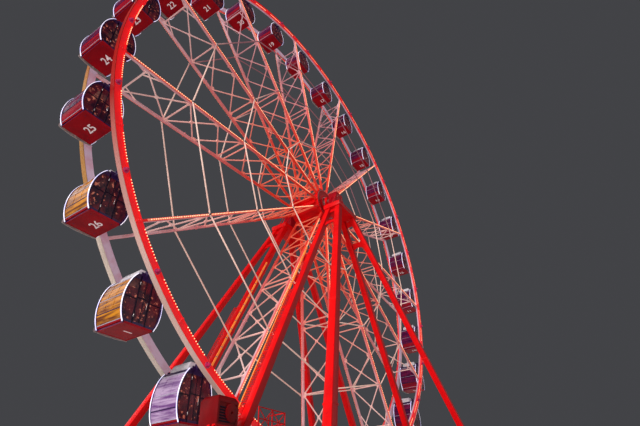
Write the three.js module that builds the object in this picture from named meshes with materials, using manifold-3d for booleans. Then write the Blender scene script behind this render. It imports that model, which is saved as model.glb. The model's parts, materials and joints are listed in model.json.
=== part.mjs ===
// Giant observation wheel with closed cabins that stay level as it turns.
// Millimetres. Origin on the ground under the hub, +X to the right seen from the front,
// +Y away from the front, +Z up. The wheel turns about the Y axis at the hub.

import * as THREE from 'three';
import { mergeVertices } from 'three/addons/utils/BufferGeometryUtils.js';
import Module from 'manifold-3d';

const wasm = await Module();
wasm.setup();

// Driving dimensions

const cabinCount = 26;
const cabinsPerSpoke = 2;
const pivotRadius = 16500;
const hubHeight = 20800;
const cabinPitch = 360 / cabinCount;
// Degrees from straight down, counted round to the right. Cabins 4 and 5 hang either side of the bottom.
const angleBeforeFirstCabin = -63.03;
const joinGap = 0.3;
const runningGap = 0.8;
// How far joined solids reach into each other
const overlap = 20;

const rim = {
  y: 1000,
  width: 240,
  depth: 360,
  sides: 2 * cabinCount,
  knob: { sides: 6, radius: 130, from: 1060, to: 1290 },
};

const spoke = {
  thickness: 120,
  chordY: 1000,
  chordWidth: 160,
  braceWidth: 90,
  hubEnd: 1150,
  kneeRadius: 15560,
  kneeY: 820,
  // Stations where bars cross from the near chord to the far one, and the crossings of the X bracing
  // between them that have no bar of their own.
  hubBar: 1560,
  firstCrossing: 3150,
  innerStation: 4860,
  secondCrossing: 6600,
  middleStation: 8360,
  middleStationOuter: 8770,
  thirdCrossing: 10650,
  outerStation: 12570,
  endBar: 15100,
};

const tie = {
  width: 110,
  depth: 100,
  // Radius of each ring on the near side and on the far one
  outer: [spoke.outerStation, spoke.outerStation],
  middle: [spoke.middleStationOuter, spoke.middleStation],
  inner: [spoke.innerStation, spoke.innerStation],
};

const hub = { sides: cabinCount, flangeThickness: 260, drumRadius: 820, axleRadius: 360 };

const cabin = {
  length: 1400,
  wall: 60,
  floorThickness: 90,
  // Half widths of the shell at heights from the pivot, from the floor to the roof
  outline: [[600, -2000], [770, -1640], [830, -1200], [790, -760], [640, -360], [420, -90]],
  cap: [400, 230],
  roomTop: [320, -120],
  sideWindow: { low: -1600, high: -450, halfLength: 560 },
  endWindow: { low: -1850, high: -470, halfLow: 500, halfHigh: 470 },
  pin: { sides: 8, radius: 75 },
};

const leg = {
  width: 400,
  depth: 380,
  // Where the middle lines of the legs pass the hub height and the ground, from the wheel's middle
  inner: { top: [220, 1870], foot: [10920, 1870] },
  outer: { top: [220, 2300], foot: [10920, 6690] },
  // Heights between which plates tie the two legs of a pair together
  webs: [[17400, 17950], [18900, 19350]],
  webThickness: 90,
};

// Each head is a cap plate on the tops of four legs, with a bearing block on it
const head = {
  bottom: 19400,
  plate: { halfWidth: 1200, inner: 1560, outer: 2840, top: 19750 },
  block: { halfLow: 640, halfHigh: 400, inner: 1560, outer: 2260, top: 21280 },
};

const base = { height: 450, width: 1300, x: 10800, halfLength: 8000 };

const platform = {
  halfWidth: 5600,
  front: -5200,
  back: 3400,
  deckTop: 2050,
  deckThickness: 160,
  postSize: 240,
  sillHeight: 300,
  stepCount: 10,
  stepGoing: 300,
  stepHalfWidth: 1800,
};

const landing = {
  floor: 5120,
  beamDepth: 200,
  outerX: 10150,
  innerX: 5850,
  front: 2420,
  back: 1560,
  deck: { outerX: 8000, innerX: 6350, thickness: 90 },
  housing: { outerX: 10100, innerX: 9050, height: 950 },
  railHeight: 870,
  railSize: 60,
};

const red = new THREE.MeshStandardMaterial({ color: 0xc80d12, roughness: 0.45, metalness: 0.2 });
const maroon = new THREE.MeshStandardMaterial({ color: 0x6d1420, roughness: 0.4, metalness: 0.1 });
const steel = new THREE.MeshStandardMaterial({ color: 0x8c9096, roughness: 0.35, metalness: 0.7 });

// Making and joining solids

function weld(geometry) {
  const bare = geometry.index ? geometry.toNonIndexed() : geometry;
  bare.deleteAttribute('normal');
  bare.deleteAttribute('uv');
  return mergeVertices(bare, 0.01);
}

function toSolid(geometry) {
  const welded = weld(geometry);
  return new wasm.Manifold(new wasm.Mesh({
    numProp: 3,
    vertProperties: new Float32Array(welded.getAttribute('position').array),
    triVerts: new Uint32Array(welded.index.array),
  }));
}

function toGeometry(solid) {
  const mesh = solid.getMesh();
  const geometry = new THREE.BufferGeometry();
  geometry.setAttribute('position', new THREE.BufferAttribute(new Float32Array(mesh.vertProperties), 3));
  geometry.setIndex(new THREE.BufferAttribute(new Uint32Array(mesh.triVerts), 1));
  return geometry;
}

function join(geometries) {
  return toGeometry(geometries.map(toSolid).reduce((whole, piece) => whole.add(piece)));
}

function cut(geometry, cutters) {
  return toGeometry(cutters.map(toSolid).reduce((whole, piece) => whole.subtract(piece), toSolid(geometry)));
}

function block(low, high) {
  const size = high.map((value, axis) => value - low[axis]);
  const middle = high.map((value, axis) => (value + low[axis]) / 2);
  return new THREE.BoxGeometry(...size).translate(...middle);
}

// A solid with six faces between a low and a high rectangle of four corners each, both counted
// counter-clockwise seen from above.
function sixSided(low, high) {
  const corners = [...low, ...high].flat();
  const faces = [
    [0, 2, 1], [0, 3, 2], [4, 5, 6], [4, 6, 7],
    ...[0, 1, 2, 3].flatMap((side) => {
      const next = (side + 1) % 4;
      return [[side, next, next + 4], [side, next + 4, side + 4]];
    }),
  ].flat();
  const geometry = new THREE.BufferGeometry();
  geometry.setAttribute('position', new THREE.Float32BufferAttribute(corners, 3));
  geometry.setIndex(faces);
  return geometry;
}

function outlineShape(points) {
  return new THREE.Shape(points.map(([x, y]) => new THREE.Vector2(x, y)));
}

function extrude(shape, thickness) {
  const geometry = new THREE.ExtrudeGeometry(shape, { depth: thickness, bevelEnabled: false, steps: 1 });
  return geometry.translate(0, 0, -thickness / 2);
}

// Stands a flat XY outline up in the XZ plane, with its thickness along Y.
function standUp(geometry) {
  return geometry.applyMatrix4(new THREE.Matrix4().makeBasis(
    new THREE.Vector3(1, 0, 0), new THREE.Vector3(0, 0, 1), new THREE.Vector3(0, -1, 0)));
}

// Corners of a polygon with flats at the given distance, one flat or corner at the bottom.
function polygon(sides, flatDistance, cornerAtBottom) {
  const cornerDistance = flatDistance / Math.cos(Math.PI / sides);
  return Array.from({ length: sides }, (_, side) => {
    const angle = ((side + (cornerAtBottom ? 0 : 0.5)) * 2 * Math.PI) / sides - Math.PI / 2;
    return [cornerDistance * Math.cos(angle), cornerDistance * Math.sin(angle)];
  });
}

function pivotAngle(index) {
  return THREE.MathUtils.degToRad(index * cabinPitch + angleBeforeFirstCabin);
}

function named(name, geometry, material) {
  const mesh = new THREE.Mesh(geometry, material);
  mesh.name = name;
  return mesh;
}

const wheel = new THREE.Group();
wheel.position.set(0, 0, hubHeight);
const stand = new THREE.Group();
const whole = new THREE.Group();
whole.add(wheel, stand);

// Rims: a ring beam on each side, with a bearing housing outside every cabin pivot

function rimGeometry(side) {
  const ring = outlineShape(polygon(rim.sides, pivotRadius + rim.depth / 2, false));
  ring.holes.push(new THREE.Path(polygon(rim.sides, pivotRadius - rim.depth / 2, false)
    .map(([x, z]) => new THREE.Vector2(x, z))));
  const beam = standUp(extrude(ring, rim.width)).translate(0, side * rim.y, 0);
  const knobs = [];
  const { knob } = rim;
  for (let index = 0; index < cabinCount; index += 1) {
    const angle = (index * 2 * Math.PI) / cabinCount;
    const section = outlineShape(polygon(knob.sides, knob.radius, false));
    const housing = standUp(extrude(section, knob.to - knob.from));
    const outside = (knob.from + knob.to) / 2;
    housing.translate(pivotRadius * Math.sin(angle), side * outside, -pivotRadius * Math.cos(angle));
    knobs.push(housing);
  }
  return join([beam, ...knobs]);
}

for (const [name, side] of [['near_rim', -1], ['far_rim', 1]]) {
  const mesh = named(name, rimGeometry(side), red);
  mesh.rotation.y = -pivotAngle(0);
  wheel.add(mesh);
}

// Spokes: flat braced trusses that stand in a plane through the axle

function insetCell(corners, insets) {
  const lines = corners.map(([x, y], index) => {
    const [nextX, nextY] = corners[(index + 1) % corners.length];
    const length = Math.hypot(nextX - x, nextY - y);
    const normal = [-(nextY - y) / length, (nextX - x) / length];
    return { normal, offset: normal[0] * x + normal[1] * y + insets[index] };
  });
  return lines.map((line, index) => {
    const before = lines[(index + lines.length - 1) % lines.length];
    const cross = before.normal[0] * line.normal[1] - before.normal[1] * line.normal[0];
    return new THREE.Vector2(
      (before.offset * line.normal[1] - line.offset * before.normal[1]) / cross,
      (line.offset * before.normal[0] - before.offset * line.normal[0]) / cross);
  });
}

function spokeGeometry() {
  const halfChord = spoke.chordWidth / 2;
  const halfBrace = spoke.braceWidth / 2;
  const edge = spoke.chordY + halfChord;
  const inside = spoke.chordY - halfChord;
  const rimEnd = pivotRadius - rim.depth / 2 - joinGap;
  const barEdge = spoke.endBar + halfBrace;
  const hubEnd = spoke.hubEnd + joinGap;
  const firstBarEdge = spoke.hubBar - halfBrace;
  const truss = outlineShape([
    [-edge, hubEnd], [-inside, hubEnd], [-inside, firstBarEdge], [inside, firstBarEdge],
    [inside, hubEnd], [edge, hubEnd], [edge, rimEnd], [inside, rimEnd],
    [inside, spoke.kneeRadius], [spoke.kneeY, barEdge], [-spoke.kneeY, barEdge],
    [-inside, spoke.kneeRadius], [-inside, rimEnd], [-edge, rimEnd],
  ]);
  const stations = [
    { at: spoke.hubBar, bar: true }, { at: spoke.firstCrossing, bar: false },
    { at: spoke.innerStation, bar: true }, { at: spoke.secondCrossing, bar: false },
    { at: spoke.middleStation, bar: true }, { at: spoke.middleStationOuter, bar: true, open: true },
    { at: spoke.thirdCrossing, bar: false }, { at: spoke.outerStation, bar: true },
    { at: spoke.endBar, bar: true },
  ];
  const near = -spoke.chordY;
  const far = spoke.chordY;
  let below = null;
  for (let index = 1; index < stations.length; index += 1) {
    const low = stations[index - 1];
    const high = stations[index];
    if (high.open) {
      truss.holes.push(new THREE.Path(insetCell(
        [[near, low.at], [far, low.at], [far, high.at], [near, high.at]],
        [halfBrace, halfChord, halfBrace, halfChord])));
      continue;
    }
    const middle = [0, (low.at + high.at) / 2];
    const between = (...corners) => ({ corners, insets: corners.map(() => halfBrace) });
    const cells = [
      { corners: [[near, low.at], middle, [near, high.at]], insets: [halfBrace, halfBrace, halfChord] },
      { corners: [[far, low.at], [far, high.at], middle], insets: [halfChord, halfBrace, halfBrace] },
      low.bar ? between([near, low.at], [far, low.at], middle)
        : between(below, [far, low.at], middle, [near, low.at]),
    ];
    if (high.bar) cells.push(between(middle, [far, high.at], [near, high.at]));
    for (const cell of cells) truss.holes.push(new THREE.Path(insetCell(cell.corners, cell.insets)));
    below = middle;
  }
  return extrude(truss, spoke.thickness).applyMatrix4(new THREE.Matrix4().makeBasis(
    new THREE.Vector3(0, 1, 0), new THREE.Vector3(0, 0, -1), new THREE.Vector3(-1, 0, 0)));
}

// Spokes stand midway between cabins, so every place on them is counted from half a pitch
const spokeCount = cabinCount / cabinsPerSpoke;
const firstSpokePlace = 0.5;
const firstSpokeAngle = pivotAngle(firstSpokePlace);

for (let number = 1; number <= spokeCount; number += 1) {
  const mesh = named(`spoke_${String(number).padStart(2, '0')}`, weld(spokeGeometry()), red);
  mesh.rotation.y = -pivotAngle(firstSpokePlace + cabinsPerSpoke * (number - 1));
  wheel.add(mesh);
}

// Tie rings: straight ties from spoke to spoke, bolted outside the chords at three stations

function tieRingGeometry(radius, side) {
  const corner = Math.cos(Math.PI / spokeCount);
  const ring = outlineShape(polygon(spokeCount, (radius + tie.width / 2) * corner, true));
  ring.holes.push(new THREE.Path(polygon(spokeCount, (radius - tie.width / 2) * corner, true)
    .map(([x, z]) => new THREE.Vector2(x, z))));
  const outside = spoke.chordY + spoke.chordWidth / 2 + joinGap + tie.depth / 2;
  return weld(standUp(extrude(ring, tie.depth)).translate(0, side * outside, 0));
}

for (const place of ['outer', 'middle', 'inner']) {
  for (const [index, face] of ['near', 'far'].entries()) {
    const mesh = named(`${face}_${place}_tie_ring`, tieRingGeometry(tie[place][index], 2 * index - 1), red);
    mesh.rotation.y = -firstSpokeAngle;
    wheel.add(mesh);
  }
}

// Hub: a drum with two flanges that turns on a fixed axle

function hubDrumGeometry() {
  const { sides } = hub;
  const corner = 1 / Math.cos(Math.PI / sides);
  const bore = (hub.axleRadius + runningGap) * corner;
  const flangeInner = spoke.chordY - hub.flangeThickness / 2;
  const flangeOuter = spoke.chordY + hub.flangeThickness / 2;
  const profile = [
    [bore, -flangeOuter], [spoke.hubEnd * corner, -flangeOuter], [spoke.hubEnd * corner, -flangeInner],
    [hub.drumRadius, -flangeInner], [hub.drumRadius, flangeInner], [spoke.hubEnd * corner, flangeInner],
    [spoke.hubEnd * corner, flangeOuter], [bore, flangeOuter], [bore, -flangeOuter],
  ].map(([radius, y]) => new THREE.Vector2(radius, y));
  return weld(new THREE.LatheGeometry(profile, sides, Math.PI / sides, 2 * Math.PI));
}

const drum = named('hub_drum', hubDrumGeometry(), red);
drum.rotation.y = -firstSpokeAngle;
wheel.add(drum);

const axle = named('axle', weld(new THREE.CylinderGeometry(
  hub.axleRadius, hub.axleRadius, 2 * (head.plate.inner - joinGap), hub.sides)), steel);
axle.rotation.y = drum.rotation.y;
axle.position.set(0, 0, hubHeight);
stand.add(axle);

// Cabins: a hollow shell with a floor, glazed sides and ends, a roof cap and two pivot pins

function bothHands(rightHalf) {
  return outlineShape([...rightHalf, ...rightHalf.toReversed().map(([x, z]) => [-x, z])]);
}

function cabinGeometry() {
  const shell = standUp(extrude(bothHands([...cabin.outline, cabin.cap]), cabin.length));
  const [[floorX, floorZ], ...walls] = cabin.outline.slice(0, -1);
  const roomHalf = [
    [floorX - cabin.wall, floorZ + cabin.floorThickness],
    ...walls.map(([x, z]) => [x - cabin.wall, z]),
    cabin.roomTop,
  ];
  const room = standUp(extrude(bothHands(roomHalf), cabin.length - 2 * cabin.wall));
  const { sideWindow, endWindow, pin } = cabin;
  const sideCut = block(
    [-2 * floorX, -sideWindow.halfLength, sideWindow.low],
    [2 * floorX, sideWindow.halfLength, sideWindow.high]);
  const endHalf = [[endWindow.halfLow, endWindow.low], [endWindow.halfHigh, endWindow.high]];
  const endCut = standUp(extrude(bothHands(endHalf), 2 * cabin.length));
  const pinEnd = rim.y - rim.width / 2 - runningGap;
  const pinStart = cabin.length / 2 - overlap;
  const pins = [-1, 1].map((face) => new THREE.CylinderGeometry(
    pin.radius, pin.radius, pinEnd - pinStart, pin.sides).translate(0, (face * (pinEnd + pinStart)) / 2, 0));
  return join([cut(shell, [room, sideCut, endCut]), ...pins]);
}

for (let number = 1; number <= cabinCount; number += 1) {
  const mesh = named(`cabin_${String(number).padStart(2, '0')}`, cabinGeometry(), maroon);
  const angle = pivotAngle(number);
  mesh.position.set(pivotRadius * Math.sin(angle), 0, -pivotRadius * Math.cos(angle));
  wheel.add(mesh);
}

// Legs: an inner and an outer box leg on each quarter, joined by a web under the head

function rectangle(x, y, z, halfX, halfY) {
  const hands = [[-1, -1], [1, -1], [1, 1], [-1, 1]];
  return hands.map(([handX, handY]) => [x + handX * halfX, y + handY * halfY, z]);
}

const legTop = head.bottom - joinGap;
const legFoot = base.height + joinGap;

function legMiddle(line, z, sideX, sideY) {
  const share = z / hubHeight;
  const { foot, top } = line;
  return [sideX, sideY].map((hand, axis) => hand * (foot[axis] + (top[axis] - foot[axis]) * share));
}

function legPairGeometry(sideX, sideY) {
  const section = (line, z) => rectangle(
    ...legMiddle(line, z, sideX, sideY), z, leg.width / 2, leg.depth / 2);
  const legs = [leg.inner, leg.outer].map((line) => sixSided(section(line, legFoot), section(line, legTop)));
  const webCorners = (z) => {
    const [innerX, innerY] = legMiddle(leg.inner, z, sideX, sideY);
    const [outerX, outerY] = legMiddle(leg.outer, z, sideX, sideY);
    const half = leg.webThickness / 2;
    const corners = [[innerX - half, innerY, z], [innerX + half, innerY, z],
      [outerX + half, outerY, z], [outerX - half, outerY, z]];
    return sideY > 0 ? corners : corners.toReversed();
  };
  return join([...legs, ...leg.webs.map(([low, high]) => sixSided(webCorners(low), webCorners(high)))]);
}

function headGeometry(sideY) {
  const { plate, block: bearing } = head;
  const level = (part, z, halfX) => rectangle(
    0, (sideY * (part.inner + part.outer)) / 2, z, halfX, (part.outer - part.inner) / 2);
  return join([
    sixSided(level(plate, head.bottom, plate.halfWidth), level(plate, plate.top, plate.halfWidth)),
    sixSided(
      level(bearing, plate.top - overlap, bearing.halfLow),
      level(bearing, bearing.top, bearing.halfHigh)),
  ]);
}

for (const [face, sideY] of [['near', -1], ['far', 1]]) {
  for (const [hand, sideX] of [['left', -1], ['right', 1]]) {
    stand.add(named(`${face}_${hand}_legs`, legPairGeometry(sideX, sideY), red));
  }
  stand.add(named(`${face}_head`, headGeometry(sideY), red));
}

for (const [hand, sideX] of [['left', -1], ['right', 1]]) {
  stand.add(named(`${hand}_base_beam`, weld(block(
    [sideX * base.x - base.width / 2, -base.halfLength, 0],
    [sideX * base.x + base.width / 2, base.halfLength, base.height])), steel));
}

// Service landings beside the near rim: a beam across the leg, a drive housing and a deck with a rail

function landingGeometry(sideX) {
  const legFront = -legMiddle(leg.inner, landing.floor, 1, 1)[1] - leg.depth / 2 - joinGap;
  const across = (fromX, toX, fromY, toY, fromZ, toZ) => block(
    [Math.min(sideX * fromX, sideX * toX), fromY, fromZ], [Math.max(sideX * fromX, sideX * toX), toY, toZ]);
  const { floor, front, back, deck, railSize, railHeight, housing } = landing;
  const pieces = [
    across(landing.outerX, landing.innerX, -front, legFront, floor - landing.beamDepth, floor),
    across(deck.outerX, deck.innerX, -front, -back, floor - deck.thickness, floor),
    across(housing.outerX, housing.innerX, -front, -back, floor - overlap, floor + housing.height),
  ];
  const top = floor + railHeight;
  const posts = [
    [deck.outerX, -front], [(deck.outerX + deck.innerX + railSize) / 2, -front],
    [deck.innerX + railSize, -front], [deck.innerX + railSize, -back - railSize],
  ];
  for (const [x, y] of posts) pieces.push(across(x, x - railSize, y, y + railSize, floor - overlap, top));
  for (const z of [floor + railHeight / 2, top - railSize]) {
    pieces.push(across(deck.outerX, deck.innerX, -front, -front + railSize, z, z + railSize));
    pieces.push(across(deck.innerX + railSize, deck.innerX, -front, -back, z, z + railSize));
  }
  return join(pieces);
}

for (const [hand, sideX] of [['left', -1], ['right', 1]]) {
  stand.add(named(`${hand}_landing`, landingGeometry(sideX), red));
}

// Boarding platform under the lowest cabin, with a flight of steps at the front

function platformGeometry() {
  const deckBottom = platform.deckTop - platform.deckThickness;
  const deck = block([-platform.halfWidth, platform.front, deckBottom],
    [platform.halfWidth, platform.back, platform.deckTop]);
  const pieces = [deck];
  const sillEnd = base.x - base.width / 2 - joinGap;
  for (const y of [platform.front, platform.back]) {
    const insideY = y - Math.sign(y) * platform.postSize;
    pieces.push(block([-sillEnd, insideY - platform.postSize / 2, 0],
      [sillEnd, insideY + platform.postSize / 2, platform.sillHeight]));
    for (const x of [-platform.halfWidth, 0, platform.halfWidth]) {
      const insideX = x - Math.sign(x) * platform.postSize;
      pieces.push(block([insideX - platform.postSize / 2, insideY - platform.postSize / 2, 0],
        [insideX + platform.postSize / 2, insideY + platform.postSize / 2, deckBottom + overlap]));
    }
  }
  const rise = platform.deckTop / platform.stepCount;
  const flightOutline = [[-platform.postSize, 0], [(platform.stepCount - 1) * platform.stepGoing, 0]];
  for (let step = platform.stepCount - 1; step >= 1; step -= 1) {
    const z = platform.deckTop - step * rise;
    flightOutline.push([step * platform.stepGoing, z], [(step - 1) * platform.stepGoing, z]);
  }
  flightOutline.push([0, deckBottom + overlap], [-platform.postSize, deckBottom + overlap]);
  const steps = extrude(outlineShape(flightOutline), 2 * platform.stepHalfWidth)
    .applyMatrix4(new THREE.Matrix4().makeBasis(
      new THREE.Vector3(0, -1, 0), new THREE.Vector3(0, 0, 1), new THREE.Vector3(-1, 0, 0)))
    .translate(0, platform.front, 0);
  pieces.push(steps);
  return join(pieces);
}

stand.add(named('boarding_platform', platformGeometry(), steel));

export default whole;
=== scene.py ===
import json
import math

import bmesh
import bpy
from mathutils import Matrix, Vector


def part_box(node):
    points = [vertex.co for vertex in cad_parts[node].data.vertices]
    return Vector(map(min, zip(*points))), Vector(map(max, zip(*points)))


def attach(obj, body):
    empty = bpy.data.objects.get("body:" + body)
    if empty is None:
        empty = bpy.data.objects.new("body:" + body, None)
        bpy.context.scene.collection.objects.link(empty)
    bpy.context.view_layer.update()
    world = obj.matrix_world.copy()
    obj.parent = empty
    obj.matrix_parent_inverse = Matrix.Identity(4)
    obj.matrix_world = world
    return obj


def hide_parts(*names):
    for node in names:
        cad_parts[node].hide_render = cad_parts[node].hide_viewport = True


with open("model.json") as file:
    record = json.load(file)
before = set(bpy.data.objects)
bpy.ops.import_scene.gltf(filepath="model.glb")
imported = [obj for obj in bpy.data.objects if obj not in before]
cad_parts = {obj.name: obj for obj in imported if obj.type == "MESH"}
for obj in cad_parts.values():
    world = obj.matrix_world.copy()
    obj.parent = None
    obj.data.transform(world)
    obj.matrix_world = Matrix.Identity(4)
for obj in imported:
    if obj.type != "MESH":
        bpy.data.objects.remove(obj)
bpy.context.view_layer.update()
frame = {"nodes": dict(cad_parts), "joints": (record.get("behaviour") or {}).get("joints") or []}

# Metres. The wheel turns about the Y axis through the hub, and -Y is the front.

joints = {joint["name"]: joint for joint in frame["joints"]}
hub = Vector(joints["wheel_spin"]["pos_m"])
cabinNames = sorted(name for name in frame["nodes"] if name.startswith("cabin_"))
pivots = {name: Vector(joints[name + "_swing"]["pos_m"]) for name in cabinNames}
spokeNames = sorted(name for name in frame["nodes"] if name.startswith("spoke_"))
pivotRadius = (pivots[cabinNames[0]] - hub).length
pitch = 2 * math.pi / len(cabinNames)
firstOffset = pivots[cabinNames[0]] - hub
firstAngle = math.atan2(firstOffset.x, -firstOffset.z)  # from straight down, to the right
print("frame loaded:", len(frame["nodes"]), "nodes,", len(cabinNames), "cabins,", len(spokeNames), "spokes")


# Finishes

def setInputs(node, values):
    for socket, value in values.items():
        node.inputs[socket].default_value = value


def newMaterial(name):
    material = bpy.data.materials.new(name)
    material.use_nodes = True
    tree = material.node_tree
    place = tree.nodes.new("ShaderNodeTexCoord").outputs["Object"]
    return material, tree, tree.nodes["Principled BSDF"], place


def addNoise(tree, place, scale, detail):
    noise = tree.nodes.new("ShaderNodeTexNoise")
    setInputs(noise, {"Scale": scale, "Detail": detail, "Roughness": 0.55})
    tree.links.new(place, noise.inputs["Vector"])
    return noise.outputs["Fac"]


def addRange(tree, value, fromLow, fromHigh, toLow=0, toHigh=1):
    span = tree.nodes.new("ShaderNodeMapRange")
    setInputs(span, {"From Min": fromLow, "From Max": fromHigh, "To Min": toLow, "To Max": toHigh})
    tree.links.new(value, span.inputs["Value"])
    return span.outputs["Result"]


def addMix(tree, factor, first, second):
    mix = tree.nodes.new("ShaderNodeMix")
    mix.data_type = "RGBA"
    tree.links.new(factor, mix.inputs["Factor"])
    for socket, colour in (("A", first), ("B", second)):
        target = next(entry for entry in mix.inputs if entry.name == socket and entry.type == "RGBA")
        if hasattr(colour, "is_output"):
            tree.links.new(colour, target)
        else:
            target.default_value = (*colour, 1)
    return next(entry for entry in mix.outputs if entry.type == "RGBA")


def addBump(tree, height, strength, shader):
    bump = tree.nodes.new("ShaderNodeBump")
    setInputs(bump, {"Strength": strength, "Distance": 0.004})
    tree.links.new(height, bump.inputs["Height"])
    tree.links.new(bump.outputs["Normal"], shader.inputs["Normal"])


def addMath(tree, operation, *values):
    node = tree.nodes.new("ShaderNodeMath")
    node.operation = operation
    for value, socket in zip(values, node.inputs):
        tree.links.new(value, socket)
    return node.outputs["Value"]


def addApart(tree, vector, axis):
    apart = tree.nodes.new("ShaderNodeSeparateXYZ")
    tree.links.new(vector, apart.inputs["Vector"])
    return apart.outputs[axis]


def addMapping(tree, place, scale):
    mapping = tree.nodes.new("ShaderNodeMapping")
    mapping.inputs["Scale"].default_value = scale
    tree.links.new(place, mapping.inputs["Vector"])
    return mapping.outputs["Vector"]


def addDistance(tree, place, middle):
    distance = tree.nodes.new("ShaderNodeVectorMath")
    distance.operation = "DISTANCE"
    distance.inputs[1].default_value = middle
    tree.links.new(place, distance.inputs[0])
    return distance.outputs["Value"]


# Wear on the edges that stand out
def addWear(tree, most):
    pointed = tree.nodes.new("ShaderNodeNewGeometry").outputs["Pointiness"]
    return addRange(tree, pointed, 0.53, 0.6, 0, most)


# Painted light: the colour also glows with the given strength, as a real lamp on the lamps and as painted
# light on every other finish
def colourBy(tree, shader, colour, glow):
    for socket in ("Base Color", "Emission Color"):
        tree.links.new(colour, shader.inputs[socket])
    shader.inputs["Emission Strength"].default_value = glow


# Painted shade mask: one on faces that look away from the wheel along Y, nothing on the others
def awayFromWheel(tree):
    coordinates = tree.nodes.new("ShaderNodeTexCoord").outputs
    normal, place = (addApart(tree, coordinates[output], "Y") for output in ("Normal", "Object"))
    return addRange(tree, addMath(tree, "MULTIPLY", normal, addMath(tree, "SIGN", place)), 0.35, 0.9)


# Painted light and shade that take over with height: a row gives start, full height, how full, and the colour
def addHigher(tree, place, colour, rows):
    height = addApart(tree, place, "Z")
    for low, high, most, other in rows:
        colour = addMix(tree, addRange(tree, height, low, high, 0, most), colour, other)
    return colour


# Paint with a cloudy tone, rain streaks, edge wear and a fine orange peel, with painted shade and painted
# light where the look asks for them
def makePaint(name, look):
    material, tree, shader, place = newMaterial(name)
    cloud = addNoise(tree, place, look.get("cloudScale", 0.9), 6)
    streak = addNoise(tree, addMapping(tree, place, (9, 9, 0.7)), 1.3, 5)
    shade = addMix(tree, addRange(tree, cloud, 0.35, 0.68), look["colour"], look["dark"])
    dirty = addMix(tree, addRange(tree, streak, 0.6, 0.82, 0, 0.5), shade, look["grime"])
    wearAndPaintedLight = addMix(tree, addWear(tree, look.get("wear", 0.35)), dirty, look["edge"])
    # painted shade: faces that look away from the wheel take the darker outside colour
    if "outside" in look:
        wearAndPaintedLight = addMix(tree, awayFromWheel(tree), wearAndPaintedLight, look["outside"])
    # painted light and shade by height
    if "higher" in look:
        wearAndPaintedLight = addHigher(tree, place, wearAndPaintedLight, look["higher"])
    # painted light: a faint glow on every paint, more where the look asks for it
    colourBy(tree, shader, wearAndPaintedLight, look.get("glow", 0.03))
    fine = addNoise(tree, place, 38, 4)
    roughness = addRange(tree, fine, 0.3, 0.7, look["rough"] - 0.07, look["rough"] + 0.1)
    tree.links.new(roughness, shader.inputs["Roughness"])
    addBump(tree, addNoise(tree, place, look.get("peelScale", 120), 3), 0.25, shader)
    setInputs(shader, {
        "Metallic": look.get("metallic", 0), "Specular IOR Level": look.get("shine", 0.25),
        "Coat Weight": look.get("coat", 0.06), "Coat Roughness": 0.2})
    return material


# Painted light on white steel: red light painted on the outside, pale inside, warmer near the hub
def makeWashedPaint(name, look):
    material, tree, shader, place = newMaterial(name)
    outside = addRange(tree, addMath(tree, "ABSOLUTE", addApart(tree, place, "Y")), *look["washFrom"])
    radius = addDistance(tree, addMapping(tree, place, (1, 0, 1)), hub)
    outward = addRange(tree, radius, *look["radialFrom"])
    inside = addMix(tree, outward, look["insideNearHub"], look["insideNearRim"])
    paintedWash = addMix(tree, outside, inside, look["outside"])
    cloud = addRange(tree, addNoise(tree, place, 1.7, 6), 0.45, 0.75, 0, 0.45)
    wearAndPaintedLight = addMix(tree, addWear(tree, 0.1), addMix(tree, cloud, paintedWash, look["dark"]), look["edge"])
    if "higher" in look:
        wearAndPaintedLight = addHigher(tree, place, wearAndPaintedLight, look["higher"])
    colourBy(tree, shader, wearAndPaintedLight, look["glow"])
    fine = addNoise(tree, place, 30, 4)
    tree.links.new(addRange(tree, fine, 0.3, 0.7, 0.35, 0.55), shader.inputs["Roughness"])
    addBump(tree, fine, 0.2, shader)
    shader.inputs["Specular IOR Level"].default_value = 0.25
    return material


# Tinted glazing and gloss panels, with painted pools of amber and violet light on the cabins low on the left
def makeGlass(name, look):
    material, tree, shader, place = newMaterial(name)
    wash = addNoise(tree, addMapping(tree, place, look["stretch"]), look["scale"], 5)
    tone = addRange(tree, wash, 0.41, 0.60)
    tintAndPaintedLight = addMix(tree, tone, look["colour"], look["light"])
    if "bits" in look:
        tintAndPaintedLight = addMix(tree, addRange(tree, addNoise(tree, place, 7, 4), 0.60, 0.66), tintAndPaintedLight, look["bits"])
    # painted light: each pool lightens the glass and panels towards its middle
    for middle, reach, dark, light in look.get("lights", []):
        near = addRange(tree, addDistance(tree, place, middle), *reach, 1, 0)
        tintAndPaintedLight = addMix(tree, near, tintAndPaintedLight, addMix(tree, tone, dark, light))
    colourBy(tree, shader, tintAndPaintedLight, look["glow"])
    if look["alpha"] < 1:
        alpha = addRange(tree, wash, 0.3, 0.7, look["alpha"] + 0.1, look["alpha"] - 0.1)
        tree.links.new(alpha, shader.inputs["Alpha"])
    setInputs(shader, {"Roughness": 0.28, "Coat Weight": 0.05, "Specular IOR Level": 0.18})
    return material


# Small lamps: a bright lens that varies a little from lamp to lamp
def makeLamp(name, look):
    material, tree, shader, place = newMaterial(name)
    vary = addRange(tree, addNoise(tree, place, look["scale"], 2), 0.4, 0.6)
    colourBy(tree, shader, addMix(tree, vary, look["colour"], look["other"]), look["strength"])
    shader.inputs["Roughness"].default_value = 0.25
    return material


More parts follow.
